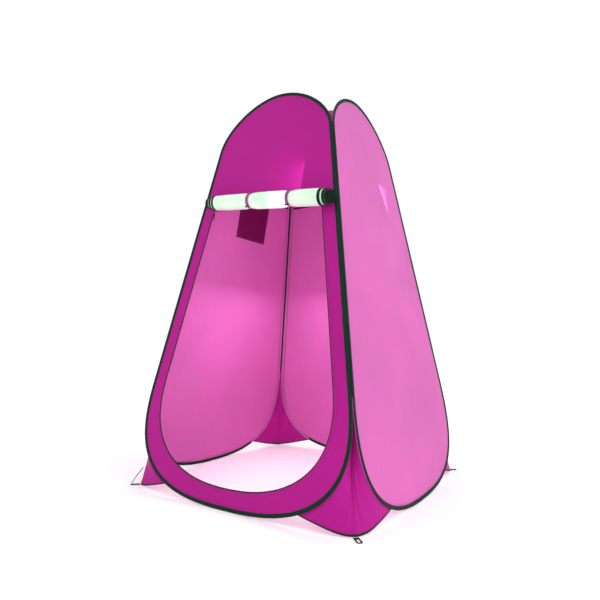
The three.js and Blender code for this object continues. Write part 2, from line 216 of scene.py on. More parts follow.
def mesh_object(
    name: str,
    points: np.ndarray,
    faces: Sequence[Sequence[int]],
    finishes: Sequence[bpy.types.Material],
    face_finish: Sequence[int] | None = None,
    uv: np.ndarray | None = None,
) -> bpy.types.Object:
    """Makes a smooth-shaded mesh object whose place is in its vertices.

    Args:
        name: Name of the piece.
        points: Vertex positions in the tent's frame.
        faces: Vertex numbers of every face.
        finishes: Materials, in slot order.
        face_finish: Slot number of every face, or None for the first slot.
        uv: Pattern coordinates of every vertex, in metres, or None.

    Returns:
        The linked object.
    """
    mesh = bpy.data.meshes.new(name)
    mesh.from_pydata(np.asarray(points, float).reshape(-1, 3).tolist(), [], faces)
    if uv is not None:
        layer = mesh.uv_layers.new(name="pattern")
        corner_vertex = np.zeros(len(mesh.loops), int)
        mesh.loops.foreach_get("vertex_index", corner_vertex)
        layer.data.foreach_set("uv", np.asarray(uv, float).reshape(-1, 2)[corner_vertex].ravel())
    for finish in finishes:
        mesh.materials.append(finish)
    if face_finish is not None:
        mesh.polygons.foreach_set("material_index", np.asarray(face_finish, np.int32))
    mesh.polygons.foreach_set("use_smooth", [True] * len(mesh.polygons))
    mesh.update()
    mesh.validate()
    piece = bpy.data.objects.new(name, mesh)
    bpy.context.scene.collection.objects.link(piece)
    return piece


@dataclass
class Shell:
    """A closed thin sheet from a grid of points, with half its thickness to each side."""

    points: np.ndarray
    thickness: float
    uv: np.ndarray | None = None
    wrap_rows: bool = False
    wrap_cols: bool = False
    normals: np.ndarray | None = None
    flip: bool = False

    def build(
        self,
        name: str,
        finishes: Sequence[bpy.types.Material],
        outer: np.ndarray | int = 0,
        inner: np.ndarray | int = 0,
    ) -> bpy.types.Object:
        """Builds the sheet.

        Args:
            name: Name of the piece.
            finishes: Materials, in slot order.
            outer: Slot number of the outer faces, one or a grid of them.
            inner: Slot number of the inner faces, one or a grid of them.

        Returns:
            The piece.
        """
        rows, cols = self.points.shape[:2]
        normals = self.normals
        if normals is None:
            normals = grid_normals(self.points, self.wrap_rows, self.wrap_cols)
        if self.flip:
            normals = -normals
        half = self.thickness / 2
        vertices = np.concatenate([
            (self.points + normals * half).reshape(-1, 3),
            (self.points - normals * half).reshape(-1, 3),
        ])
        count = rows * cols
        row_steps = rows if self.wrap_rows else rows - 1
        col_steps = cols if self.wrap_cols else cols - 1
        outer_finish = np.broadcast_to(outer, (row_steps, col_steps))
        inner_finish = np.broadcast_to(inner, (row_steps, col_steps))
        faces, chosen = [], []

        def add(face: list[int], finish: int) -> None:
            """Keeps one face, turned round if the shell is flipped, and its finish."""
            faces.append(face[::-1] if self.flip else face)
            chosen.append(int(finish))

        for i in range(row_steps):
            for j in range(col_steps):
                a, b = i * cols + j, i * cols + (j + 1) % cols
                d, c = (i + 1) % rows * cols + j, (i + 1) % rows * cols + (j + 1) % cols
                add([a, b, c, d], outer_finish[i, j])
                add([d + count, c + count, b + count, a + count], inner_finish[i, j])
        if not self.wrap_rows:
            last = (rows - 1) * cols
            for j in range(col_steps):
                a, b = j, (j + 1) % cols
                add([b, a, a + count, b + count], outer_finish[0, j])
                c, d = last + j, last + (j + 1) % cols
                add([c, d, d + count, c + count], outer_finish[-1, j])
        if not self.wrap_cols:
            for i in range(row_steps):
                a, b = i * cols, (i + 1) % rows * cols
                add([a, b, b + count, a + count], outer_finish[i, 0])
                c, d = a + cols - 1, b + cols - 1
                add([d, c, c + count, d + count], outer_finish[i, -1])
        uv = None if self.uv is None else np.concatenate([self.uv.reshape(-1, 2)] * 2)
        return mesh_object(name, vertices, faces, finishes, chosen, uv)


def section_sweep(
    name: str,
    rings: np.ndarray,
    finishes: Sequence[bpy.types.Material],
    closed: bool,
    finish: np.ndarray | int = 0,
    uv: np.ndarray | None = None,
) -> bpy.types.Object:
    """A solid from rings of section points, either a closed loop or with flat ends.

    Args:
        name: Name of the piece.
        rings: Array of stations by section points by three.
        finishes: Materials, in slot order.
        closed: Whether the last station joins the first.
        finish: Slot number of each face, one or an array of stations by section sides.
        uv: Pattern coordinates, stations by section points by two, or None.

    Returns:
        The piece.
    """
    stations, sides = rings.shape[:2]
    steps = stations if closed else stations - 1
    table = np.broadcast_to(finish, (steps, sides))
    faces, chosen = [], []
    for i in range(steps):
        for j in range(sides):
            k = (j + 1) % sides
            n = (i + 1) % stations
            faces.append([i * sides + j, i * sides + k, n * sides + k, n * sides + j])
            chosen.append(int(table[i, j]))
    if not closed:
        faces.append(list(range(sides))[::-1])
        faces.append([(stations - 1) * sides + j for j in range(sides)])
        chosen += [int(table[0, 0]), int(table[-1, 0])]
    piece = mesh_object(name, rings, faces, finishes, chosen, uv)
    if signed_volume(piece.data) < 0:
        piece.data.flip_normals()
    return piece


def signed_volume(mesh: bpy.types.Mesh) -> float:
    """Volume inside a closed mesh, negative when its faces point inwards."""
    mesh.calc_loop_triangles()
    corners = np.zeros(len(mesh.loop_triangles) * 3, int)
    mesh.loop_triangles.foreach_get("vertices", corners)
    points = np.zeros(len(mesh.vertices) * 3)
    mesh.vertices.foreach_get("co", points)
    a, b, c = points.reshape(-1, 3)[corners.reshape(-1, 3)].transpose(1, 0, 2)
    return float((a * np.cross(b, c)).sum() / 6)


def arc_lengths(points: np.ndarray, closed: bool = False) -> np.ndarray:
    """Distance along a line at each of its points."""
    following = np.roll(points, -1, 0) if closed else points[1:]
    steps = np.linalg.norm(following - points[: len(following)], axis=1)
    return np.concatenate([[0.0], np.cumsum(steps)])


def resampled(points: np.ndarray, count: int, closed: bool = False) -> np.ndarray:
    """A line's points moved to an even spacing."""
    along = arc_lengths(points, closed)
    source = np.concatenate([points, points[:1]]) if closed else points
    wanted = np.linspace(0, along[-1], count, endpoint=not closed)
    return np.stack([np.interp(wanted, along, source[:, k]) for k in range(source.shape[1])], 1)


def turned_left(line: np.ndarray, closed: bool) -> np.ndarray:
    """Unit sideways direction, to the left, at each point of a flat line."""
    if closed:
        along = unit(np.roll(line, -1, 0) - line) + unit(line - np.roll(line, 1, 0))
    else:
        along = np.gradient(line, axis=0)
    along = unit(along)
    return np.stack([-along[:, 1], along[:, 0]], 1)


# ---------------------------------------------------------------- finishes


class Graph:
    """A material's node tree, with short ways to add and link nodes."""

    def __init__(self, name: str) -> None:
        """Starts an empty material of that name."""
        self.material = bpy.data.materials.new(name)
        self.material.use_nodes = True
        self.tree = self.material.node_tree
        self.tree.nodes.clear()
        self.output = self.tree.nodes.new("ShaderNodeOutputMaterial")

    def node(self, kind: str, inputs: dict | None = None, **settings) -> bpy.types.Node:
        """Adds a node.

        Args:
            kind: The node's type.
            inputs: Values or output sockets by input name or number.
            settings: Properties of the node.

        Returns:
            The node.
        """
        made = self.tree.nodes.new(kind)
        for key, value in settings.items():
            setattr(made, key, value)
        for key, value in (inputs or {}).items():
            if isinstance(value, bpy.types.NodeSocket):
                self.tree.links.new(value, made.inputs[key])
            else:
                made.inputs[key].default_value = value
        return made

    def maths(self, operation: str, a: object, b: object = 0.0) -> bpy.types.NodeSocket:
        """The result of a Math node on two values or sockets."""
        return self.node("ShaderNodeMath", {0: a, 1: b}, operation=operation).outputs[0]

    def ramp(
        self, value: bpy.types.NodeSocket, stops: Sequence[tuple[float, Colour]]
    ) -> bpy.types.NodeSocket:
        """A colour ramp over a value, from (position, colour) stops."""
        made = self.node("ShaderNodeValToRGB", {0: value})
        elements = made.color_ramp.elements
        while len(elements) < len(stops):
            elements.new(1.0)
        for element, (position, colour) in zip(elements, stops):
            element.position = position
            element.color = (*colour, 1.0)
        return made.outputs[0]

    def noise(self, vector: bpy.types.NodeSocket, scale: float, detail: float = 3.0) -> bpy.types.NodeSocket:
        """A noise value between 0 and 1."""
        made = self.node("ShaderNodeTexNoise", {"Vector": vector, "Scale": scale, "Detail": detail})
        return made.outputs["Fac"]


def shade(colour: Colour, factor: float) -> Colour:
    """A colour made lighter or darker."""
    return tuple(min(1.0, c * factor) for c in colour)


@dataclass(frozen=True)
class TentCloth:
    """Thin plain-woven polyester that lets some light through."""

    name: str
    colour: Colour
    see_through: float = 0.3
    roughness: float = 0.55
    sheen: float = 0.06
    yarn: float = 0.0007
    weave_depth: float = 0.12

    def material(self) -> bpy.types.Material:
        """Builds the material.

        Returns:
            The material, whose weave follows the sheet's own pattern map.
        """
        g = Graph(self.name)
        uv = g.node("ShaderNodeUVMap", uv_map="pattern").outputs[0]
        place = g.node("ShaderNodeTexCoord").outputs["Object"]
        split = g.node("ShaderNodeSeparateXYZ", {0: uv})
        turns = 2 * math.pi / self.yarn
        warp = g.maths("SINE", g.maths("MULTIPLY", split.outputs[0], turns))
        weft = g.maths("SINE", g.maths("MULTIPLY", split.outputs[1], turns))
        weave = g.maths("MULTIPLY", warp, weft)
        stretched = g.node("ShaderNodeMapping", {"Vector": uv, "Scale": (60.0, 4.0, 1.0)}).outputs[0]
        slubs = g.noise(stretched, 3.0, 2.0)
        clouds = g.noise(place, 2.2, 2.0)
        creases = g.noise(place, 9.0, 4.0)
        tone = g.maths("ADD", g.maths("MULTIPLY", clouds, 0.75), g.maths("MULTIPLY", slubs, 0.25))
        colour = g.ramp(tone, [
            (0.25, shade(self.colour, 0.9)),
            (0.5, self.colour),
            (0.75, shade(self.colour, 1.1)),
        ])
        threads = g.maths("MULTIPLY", weave, self.weave_depth)
        height = g.maths("ADD", threads, g.maths("MULTIPLY", creases, 0.5))
        bump = g.node("ShaderNodeBump", {"Height": height, "Strength": 0.22, "Distance": 0.0012}).outputs[0]
        rough = g.node("ShaderNodeMapRange", {
            "Value": slubs, "To Min": self.roughness - 0.06, "To Max": self.roughness + 0.08,
        }).outputs[0]
        surface = g.node("ShaderNodeBsdfPrincipled", {
            "Base Color": colour,
            "Roughness": rough,
            "Normal": bump,
            "Sheen Weight": self.sheen,
            "Sheen Roughness": 0.4,
            "Specular IOR Level": 0.12,
        }).outputs[0]
        through = g.node("ShaderNodeBsdfTranslucent", {"Color": colour, "Normal": bump}).outputs[0]
        mixed = g.node("ShaderNodeMixShader", {0: self.see_through, 1: surface, 2: through}).outputs[0]
        g.tree.links.new(mixed, g.output.inputs[0])
        return g.material


@dataclass(frozen=True)
class WovenTape:
    """Close ribbed tape or webbing, with the ribs across its length."""

    name: str
    colour: Colour
    rib: float = 0.0011
    roughness: float = 0.7
    sheen: float = 0.02
    edge_light: float = 1.6

    def material(self) -> bpy.types.Material:
        """Builds the material.

        Returns:
            The material, whose ribs follow the tape's own pattern map.
        """
        g = Graph(self.name)
        uv = g.node("ShaderNodeUVMap", uv_map="pattern").outputs[0]
        place = g.node("ShaderNodeTexCoord").outputs["Object"]
        split = g.node("ShaderNodeSeparateXYZ", {0: uv})
        turns = 2 * math.pi / self.rib
        ribs = g.maths("SINE", g.maths("MULTIPLY", split.outputs[0], turns))
        yarns = g.maths("SINE", g.maths("MULTIPLY", split.outputs[1], turns * 1.6))
        twill = g.maths("MULTIPLY", ribs, g.maths("ADD", g.maths("MULTIPLY", yarns, 0.35), 0.65))
        worn = g.noise(place, 24.0, 4.0)
        fuzz = g.noise(place, 900.0, 2.0)
        tone = g.maths("ADD", g.maths("MULTIPLY", worn, 0.7), g.maths("MULTIPLY", fuzz, 0.3))
        colour = g.ramp(tone, [
            (0.3, shade(self.colour, 0.7)),
            (0.52, self.colour),
            (0.75, shade(self.colour, self.edge_light)),
        ])
        height = g.maths("ADD", twill, g.maths("MULTIPLY", fuzz, 0.5))
        bump = g.node("ShaderNodeBump", {"Height": height, "Strength": 0.5, "Distance": 0.0003}).outputs[0]
        rough = g.node("ShaderNodeMapRange", {
            "Value": worn, "To Min": self.roughness - 0.1, "To Max": self.roughness + 0.1,
        }).outputs[0]
        surface = g.node("ShaderNodeBsdfPrincipled", {
            "Base Color": colour,
            "Roughness": rough,
            "Normal": bump,
            "Sheen Weight": self.sheen,
            "Sheen Roughness": 0.5,
            "Specular IOR Level": 0.15,
        }).outputs[0]
        g.tree.links.new(surface, g.output.inputs[0])
        return g.material


@dataclass(frozen=True)
class CoatedLining:
    """Pale coated reverse of the door cloth: smooth, with soft creases and a faint tint."""

    name: str
    colour: Colour
    tint: Colour

    def material(self) -> bpy.types.Material:
        """Builds the material.

        Returns:
            The material, with broad tint patches and fine creases.
        """
        g = Graph(self.name)
        place = g.node("ShaderNodeTexCoord").outputs["Object"]
        patches = g.noise(place, 9.0, 3.0)
        creases = g.node("ShaderNodeTexNoise", {
            "Vector": place, "Scale": 34.0, "Detail": 5.0, "Roughness": 0.6, "Distortion": 0.4,
        }).outputs["Fac"]
        grain = g.noise(place, 1400.0, 1.0)
        colour = g.ramp(patches, [(0.34, self.tint), (0.6, self.colour)])
        height = g.maths("ADD", g.maths("MULTIPLY", creases, 1.0), g.maths("MULTIPLY", grain, 0.05))
        bump = g.node("ShaderNodeBump", {"Height": height, "Strength": 0.35, "Distance": 0.002}).outputs[0]
        rough = g.node("ShaderNodeMapRange", {"Value": creases, "To Min": 0.38, "To Max": 0.56}).outputs[0]
        surface = g.node("ShaderNodeBsdfPrincipled", {
            "Base Color": colour, "Roughness": rough, "Normal": bump, "Coat Weight": 0.08,
        }).outputs[0]
        g.tree.links.new(surface, g.output.inputs[0])
        return g.material


@dataclass(frozen=True)
class HardFinish:
    """Metal or moulded plastic with fine scratches or grain and handled patches."""

    name: str
    colour: Colour
    metallic: float
    roughness: float
    grain: float

    def material(self) -> bpy.types.Material:
        """Builds the material.

        Returns:
            The material, with its grain on the part's own coordinates.
        """
        g = Graph(self.name)
        place = g.node("ShaderNodeTexCoord").outputs["Object"]
        handled = g.noise(place, 60.0, 4.0)
        grain = g.noise(place, self.grain, 2.0)
        colour = g.ramp(handled, [
            (0.3, shade(self.colour, 0.75)),
            (0.55, self.colour),
            (0.8, shade(self.colour, 1.3)),
        ])
        bump = g.node("ShaderNodeBump", {"Height": grain, "Strength": 0.25, "Distance": 0.0002}).outputs[0]
        rough = g.node("ShaderNodeMapRange", {
            "Value": handled, "To Min": self.roughness - 0.1, "To Max": self.roughness + 0.15,
        }).outputs[0]
        surface = g.node("ShaderNodeBsdfPrincipled", {
            "Base Color": colour, "Roughness": rough, "Normal": bump, "Metallic": self.metallic,
        }).outputs[0]
        g.tree.links.new(surface, g.output.inputs[0])
        return g.material


@dataclass(frozen=True)
class Thread:
    """Twisted sewing thread."""

    name: str
    colour: Colour

    def material(self) -> bpy.types.Material:
        """Builds the material.

        Returns:
            The material, with a slight change of tone from stitch to stitch.
        """
        g = Graph(self.name)
        place = g.node("ShaderNodeTexCoord").outputs["Object"]
        tone = g.noise(place, 220.0, 1.0)
        colour = g.ramp(tone, [(0.35, shade(self.colour, 0.75)), (0.65, shade(self.colour, 1.2))])
        surface = g.node("ShaderNodeBsdfPrincipled", {
            "Base Color": colour, "Roughness": 0.6, "Sheen Weight": 0.2,
        }).outputs[0]
        g.tree.links.new(surface, g.output.inputs[0])
        return g.material


@dataclass
class Finishes:
    """Every finish on the tent, built once."""

    # The tent cloth is built twice, as a shaded and a lit copy of one cloth, so its light and shade are
    # painted in.
    magenta: bpy.types.Material = field(init=False)
    orchid: bpy.types.Material = field(init=False)
    binding: bpy.types.Material = field(init=False)
    lining: bpy.types.Material = field(init=False)
    zip_tape: bpy.types.Material = field(init=False)
    coil: bpy.types.Material = field(init=False)
    pocket: bpy.types.Material = field(init=False)
    seam: bpy.types.Material = field(init=False)
    strap: bpy.types.Material = field(init=False)
    webbing: bpy.types.Material = field(init=False)
    casting: bpy.types.Material = field(init=False)
    steel: bpy.types.Material = field(init=False)
    moulded: bpy.types.Material = field(init=False)
    dark_thread: bpy.types.Material = field(init=False)
    pink_thread: bpy.types.Material = field(init=False)

    def __post_init__(self) -> None:
        """Builds the materials."""
        # Darker copy of the tent cloth: painted shade, used on the front wall, its binding's inner faces,
        # the zip strip, the door, the gussets and the roof.
        self.magenta = TentCloth("magenta_cloth", (0.49, 0.011, 0.285), see_through=0.18).material()
        # Lighter copy of the same cloth: painted light, used on the side and back walls, inside and out.
        self.orchid = TentCloth("orchid_cloth", (0.76, 0.195, 0.575), see_through=0.35).material()
        self.binding = WovenTape("binding_tape", (0.002, 0.026, 0.014)).material()
        self.lining = CoatedLining("door_lining", (0.78, 0.95, 0.78), (0.55, 0.84, 0.60)).material()
        self.zip_tape = WovenTape("zip_tape", (0.002, 0.018, 0.009), rib=0.0007).material()
        self.coil = HardFinish("zip_coil", (0.006, 0.03, 0.02), 0.0, 0.4, 2000.0).material()
        self.pocket = TentCloth("pocket_cloth", (0.155, 0.0015, 0.075), see_through=0.05).material()
        self.seam = WovenTape("seam_tape", (0.12, 0.004, 0.07), rib=0.0009).material()
        self.strap = WovenTape("tie_strap", (0.33, 0.085, 0.27), rib=0.0012).material()
        self.webbing = WovenTape("stake_webbing", (0.002, 0.022, 0.013), rib=0.0016).material()
        self.casting = HardFinish("slider_casting", (0.05, 0.055, 0.055), 0.85, 0.38, 1500.0).material()
        self.steel = HardFinish("spring_steel", (0.42, 0.43, 0.45), 1.0, 0.32, 900.0).material()
        self.moulded = HardFinish("moulded_toggle", (0.012, 0.02, 0.017), 0.0, 0.45, 1200.0).material()
        self.dark_thread = Thread("dark_thread", (0.012, 0.055, 0.04)).material()
        self.pink_thread = Thread("pink_thread", (0.42, 0.05, 0.27)).material()


# ---------------------------------------------------------------- stitches and other repeats


class RowTree:
    """Geometry Nodes tree that lays one small rounded bar at every step along lines.

    The bars stand for stitches or zip coils: they lie along the line or across it, flat on the
    surface that the line runs over.
    """

    SIZES = ("Pitch", "Along", "Across", "Tall")

    def __init__(self, name: str) -> None:
        """Builds the tree with its named size inputs."""
        self.tree = bpy.data.node_groups.new(name, "GeometryNodeTree")
        face = self.tree.interface
        face.new_socket(name="Geometry", in_out="INPUT", socket_type="NodeSocketGeometry")
        for size in self.SIZES:
            face.new_socket(name=size, in_out="INPUT", socket_type="NodeSocketFloat")
        face.new_socket(name="Facing", in_out="INPUT", socket_type="NodeSocketVector")
        face.new_socket(name="Finish", in_out="INPUT", socket_type="NodeSocketMaterial")
        face.new_socket(name="Geometry", in_out="OUTPUT", socket_type="NodeSocketGeometry")
        add = self.tree.nodes.new
        link = self.tree.links.new
        inputs, output = add("NodeGroupInput"), add("NodeGroupOutput")
        lines = add("GeometryNodeMeshToCurve")
        spaced = add("GeometryNodeResampleCurve")
        spaced.mode = "LENGTH"
        tangent = add("GeometryNodeInputTangent")
        along = add("FunctionNodeAlignRotationToVector")
        along.axis = "X"
        facing = add("FunctionNodeAlignRotationToVector")
        facing.axis = "Z"
        facing.pivot_axis = "X"
        bar = add("GeometryNodeMeshUVSphere")
        bar.inputs["Segments"].default_value = 6
        bar.inputs["Rings"].default_value = 4
        bar.inputs["Radius"].default_value = 0.5
        size = add("ShaderNodeCombineXYZ")
        shaped = add("GeometryNodeTransform")
        instances = add("GeometryNodeInstanceOnPoints")
        realized = add("GeometryNodeRealizeInstances")
        smooth = add("GeometryNodeSetShadeSmooth")
        dressed = add("GeometryNodeSetMaterial")
        link(inputs.outputs["Geometry"], lines.inputs[0])
        link(lines.outputs[0], spaced.inputs["Curve"])
        link(inputs.outputs["Pitch"], spaced.inputs["Length"])
        link(tangent.outputs[0], along.inputs["Vector"])
        link(along.outputs[0], facing.inputs["Rotation"])
        link(inputs.outputs["Facing"], facing.inputs["Vector"])
        for axis, name_of_size in zip("XYZ", self.SIZES[1:]):
            link(inputs.outputs[name_of_size], size.inputs[axis])
        link(bar.outputs["Mesh"], shaped.inputs["Geometry"])
        link(size.outputs[0], shaped.inputs["Scale"])
        link(spaced.outputs[0], instances.inputs["Points"])
        link(shaped.outputs[0], instances.inputs["Instance"])
        link(facing.outputs[0], instances.inputs["Rotation"])
        link(instances.outputs[0], realized.inputs[0])
        link(realized.outputs[0], smooth.inputs[0])
        link(smooth.outputs[0], dressed.inputs["Geometry"])
        link(inputs.outputs["Finish"], dressed.inputs["Material"])
        link(dressed.outputs[0], output.inputs[0])

    def lay(
        self,
        name: str,
        lines: Sequence[np.ndarray],
        facing: np.ndarray,
        sizes: tuple[float, float, float, float],
        finish: bpy.types.Material,
    ) -> bpy.types.Object:
        """Lays a row along each line.

        Args:
            name: Name of the piece.
            lines: Lines in the tent's frame, each an array of points.
            facing: Direction that the surface under the lines faces.
            sizes: Pitch, and each bar's size along, across and tall.
            finish: Material of the bars.

        Returns:
            One plain mesh with all the bars.
        """
        points = np.concatenate(lines)
        edges, start = [], 0
        for line in lines:
            edges += [(start + i, start + i + 1) for i in range(len(line) - 1)]
            start += len(line)
        guide_mesh = bpy.data.meshes.new(f"{name}_guide")
        guide_mesh.from_pydata(points.tolist(), edges, [])
        guide = bpy.data.objects.new(f"{name}_guide", guide_mesh)
        bpy.context.scene.collection.objects.link(guide)
        modifier = guide.modifiers.new("rows", "NODES")
        modifier.node_group = self.tree
        values = dict(zip(self.SIZES, sizes)) | {"Facing": list(facing), "Finish": finish}
        for item in self.tree.interface.items_tree:
            if item.in_out == "INPUT" and item.name in values:
                modifier[item.identifier] = values[item.name]
        guide.update_tag()
        graph = bpy.context.evaluated_depsgraph_get()
        mesh = bpy.data.meshes.new_from_object(guide.evaluated_get(graph))
        guide.modifiers.remove(modifier)
        bpy.data.objects.remove(guide)
        bpy.data.meshes.remove(guide_mesh)
        mesh.name = name
        piece = bpy.data.objects.new(name, mesh)
        bpy.context.scene.collection.objects.link(piece)
        return piece


@dataclass
class Workshop:
    """What every sub-assembly needs: the finishes and the tree that lays stitches."""

    finishes: Finishes
    rows: RowTree

    def fit(
        self,
        piece: bpy.types.Object,
        body: str | None = None,
        replaces: Sequence[str] = (),
        slot: str | None = None,
    ) -> bpy.types.Object:
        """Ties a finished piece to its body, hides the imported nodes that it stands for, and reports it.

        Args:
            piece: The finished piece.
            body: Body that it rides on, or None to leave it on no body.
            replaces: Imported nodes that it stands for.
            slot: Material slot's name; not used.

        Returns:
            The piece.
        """
        if body is not None:
            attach(piece, body)
        if replaces:
            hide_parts(*replaces)
        LOG.info("%s: %d faces on %s", piece.name, len(piece.data.polygons), body or "two bodies")
        return piece

    def stitches(
        self,
        name: str,
        lines: Sequence[np.ndarray],
        facing: np.ndarray,
        body: str,
        finish: bpy.types.Material | None = None,
        pitch: float = 0.005,
    ) -> bpy.types.Object:
        """Lays a row of stitches along each line on one body.

        Args:
            name: Name of the piece.
            lines: Lines in the tent's frame.
            facing: Direction that the surface under them faces.
            body: Body that they ride on.
            finish: Thread, dark unless given.
            pitch: Distance from one stitch to the next.

        Returns:
            The piece.
        """
        sizes = (pitch, pitch * 0.72, 0.0008, 0.0006)
        made = self.rows.lay(name, lines, facing, sizes, finish or self.finishes.dark_thread)
        return self.fit(made, body)


# ---------------------------------------------------------------- hoops and their bindings


@dataclass
class Hoop:
    """The line of one spring hoop in its wall's plane."""

    side: Side
    low_steps: int = 30
    high_steps: int = 34
    straight_steps: int = 36

    @property
    def gaps(self) -> tuple[float, float]:
        """Distance from the wire to the corner line on the +x and on the -x edge."""
        plus = TENT.open_edge_gap if self.side is Side.BACK else TENT.edge_gap
        minus = TENT.open_edge_gap if self.side is Side.LEFT else TENT.edge_gap
        return plus, minus

    def half(self, edge: int) -> np.ndarray:
        """Half of the line, from the bottom centre up to the top centre.

        Args:
            edge: 1 for the +x half and -1 for the -x half, which is given mirrored.

        Returns:
            Points with x and y.
        """
        gap = self.gaps[0] if edge > 0 else self.gaps[1]
        low = self.quarter(TENT.low_arc, TENT.bead_out, gap, self.low_steps)
        high = self.quarter(TENT.high_arc, TENT.slope - TENT.bead_out, gap, self.high_steps)
        up = np.linspace(0, 1, self.straight_steps)[1:-1, None]
        side = low[0] * (1 - up) + high[0] * up
        middle = np.linspace(0.0, low[-1][0], 6)[:-1]
        bottom = np.stack([middle, np.full_like(middle, TENT.bead_out)], 1)
        return np.concatenate([bottom, low[::-1], side, high, [[0.0, TENT.slope - TENT.bead_out]]])

    def quarter(self, arc: tuple[float, float], centre_y: float, gap: float, steps: int) -> np.ndarray:
        """A superellipse quarter from the straight edge inwards."""
        side_y, exponent = arc
        t = np.linspace(0, math.pi / 2, steps, endpoint=False)
        y = side_y + (centre_y - side_y) * np.sin(t) ** (2 / exponent)
        half = TENT.base_half - y * math.sin(TENT.lean) - gap
        return np.stack([half * np.cos(t) ** (2 / exponent), y], 1)

    def ring(self) -> np.ndarray:
        """The whole line, counter-clockwise from the bottom centre, without a repeated point."""
        left = self.half(-1) * [-1, 1]
        return np.concatenate([self.half(1), left[-2:0:-1]])

    def beside(self, distance: float, outwards: float = 0.0) -> np.ndarray:
        """The ring moved inwards in its plane and off its plane, in the tent's frame."""
        line = self.ring()
        flat = line + turned_left(line, True) * distance
        lifted = np.concatenate([flat, np.full((len(flat), 1), outwards)], 1)
        return self.side.place(lifted)


@dataclass
class Binding:
    """Tape folded round a hoop's wire, sewn to the wall's cloth along both of its edges."""

    shop: Workshop
    side: Side
    bead: float = 0.0049
    flange: float = 0.0106
    cloth_slot: float = 0.0007

    def section(self) -> np.ndarray:
        """The tape's outline: distance inwards from the wire, and off the wall's plane."""
        angles = np.radians(np.linspace(38, 322, 13))
        bead = np.stack([np.cos(angles), np.sin(angles)], 1) * self.bead
        slot = self.cloth_slot
        outer = [(self.flange, slot), (self.flange + 0.0004, slot + 0.0005), (self.flange, slot + 0.0010)]
        outer += [(self.flange - 0.0012, slot + 0.0012), (0.0072, slot + 0.0010), (0.0056, slot + 0.0014)]
        inner = [(a, -z) for a, z in outer[::-1]]
        return np.array([*outer, *bead.tolist(), *inner, (0.0052, -slot), (0.0050, 0.0), (0.0052, slot)])

    def build(self) -> bpy.types.Object:
        """Builds the tape and both of its rows of stitches.

        Returns:
            The tape.
        """
        hoop = Hoop(self.side)
        line = hoop.ring()
        inwards = turned_left(line, True)
        section = self.section()
        along = arc_lengths(line, True)[:-1]
        around = arc_lengths(section, True)[:-1]
        place = np.concatenate([line, np.zeros((len(line), 1))], 1)
        pucker = noise_at(place, (0.018, 0.018, 1.0), 3.1 + self.side.value) * 0.0004
        flat = line[:, None, :] + inwards[:, None, :] * section[None, :, 0, None]
        reach = np.clip((section[:, 0] - 0.006) / 0.006, 0, 1)
        flat = flat + inwards[:, None, :] * (pucker[:, None] * reach[None, :])[..., None]
        off = np.broadcast_to(section[None, :, 1, None], (*flat.shape[:2], 1))
        rings = self.side.place(np.concatenate([flat, off], 2))
        uv = np.stack(np.broadcast_arrays(along[:, None], around[None, :]), -1)
        middles = (section[:, 1] + np.roll(section[:, 1], -1)) / 2
        facing_in = middles < -0.0009
        free_edge = (line[:, 1] < 0.3) & (np.abs(line[:, 0]) < TENT.hem_x)
        finish = (facing_in[None, :] & ~free_edge[:, None]).astype(int)
        # The front binding's inner faces take the cloth copy with painted shade; the other walls' take the
        # copy with painted light.
        cloth = self.shop.finishes.magenta if self.side is Side.FRONT else self.shop.finishes.orchid
        piece = section_sweep(
            f"{self.side.label}_binding", rings, [self.shop.finishes.binding, cloth], True, finish, uv
        )
        node = f"{self.side.label}_hoop_binding"
        self.shop.fit(piece, self.side.body, [node], "binding")
        self.sew(hoop)
        return piece

    def sew(self, hoop: Hoop) -> None:
        """Lays the stitches along the tape's edge, outside and inside."""
        lift = self.cloth_slot + 0.0013
        for face, sign in (("outside", 1), ("inside", -1)):
            line = hoop.beside(self.flange - 0.0017, sign * lift)
            closed = np.concatenate([line, line[:1]])
            name = f"{self.side.label}_binding_stitches_{face}"
            self.shop.stitches(name, [closed], sign * self.side.outwards(), self.side.body)


@dataclass
class CornerSeam:
    """Folded seam cloth between a hoop's binding and the line where two walls meet."""

    shop: Workshop
    corner: Corner
    tape: float = 0.0052
    thickness: float = 0.0012

    def build(self) -> None:
        """Builds the half on each of the two walls."""
        first, second = self.corner.walls
        for side, edge in ((first, 1), (second, -1)):
            gap = Hoop(side).gaps[0 if edge > 0 else 1]
            y = np.linspace(TENT.low_arc[0] - 0.02, TENT.high_arc[0] + 0.01, 60)
            half = TENT.base_half - y * math.sin(TENT.lean)
            lips = [gap - TENT.bead_out + 0.001, 0.001] if gap > 0.01 else [gap - 0.003, 0.0006]
            x = half[:, None] - np.linspace(lips[0], lips[1], 4)[None, :]
            points = np.stack([edge * x, np.repeat(y[:, None], 4, 1), np.zeros_like(x)], -1)
            uv = np.stack([np.repeat(y[:, None], 4, 1), x], -1)
            grid = Shell(side.place(points), self.thickness, uv, flip=edge > 0)
            label = f"{self.corner.label}_seam_{side.label}"
            piece = grid.build(label, [self.shop.finishes.binding])
            self.shop.fit(piece, side.body, slot="binding")
            self.tape_inside(side, edge, y, half)

    def tape_inside(self, side: Side, edge: int, y: np.ndarray, half: np.ndarray) -> None:
        """Builds the dark tape that covers the seam inside, up to the hoops' high curve."""
        x = half[:, None] - np.linspace(self.tape, 0.0012, 5)[None, :]
        depth = np.full_like(x, -0.0062)
        depth[:, -1] = -0.0056
        points = np.stack([edge * x, np.repeat(y[:, None], 5, 1), depth], -1)
        uv = np.stack([np.repeat(y[:, None], 5, 1), x], -1)
        grid = Shell(side.place(points), 0.0009, uv, flip=edge > 0)
        piece = grid.build(f"{self.corner.label}_tape_{side.label}", [self.shop.finishes.binding])
        self.shop.fit(piece, side.body, slot="binding")


# ---------------------------------------------------------------- walls


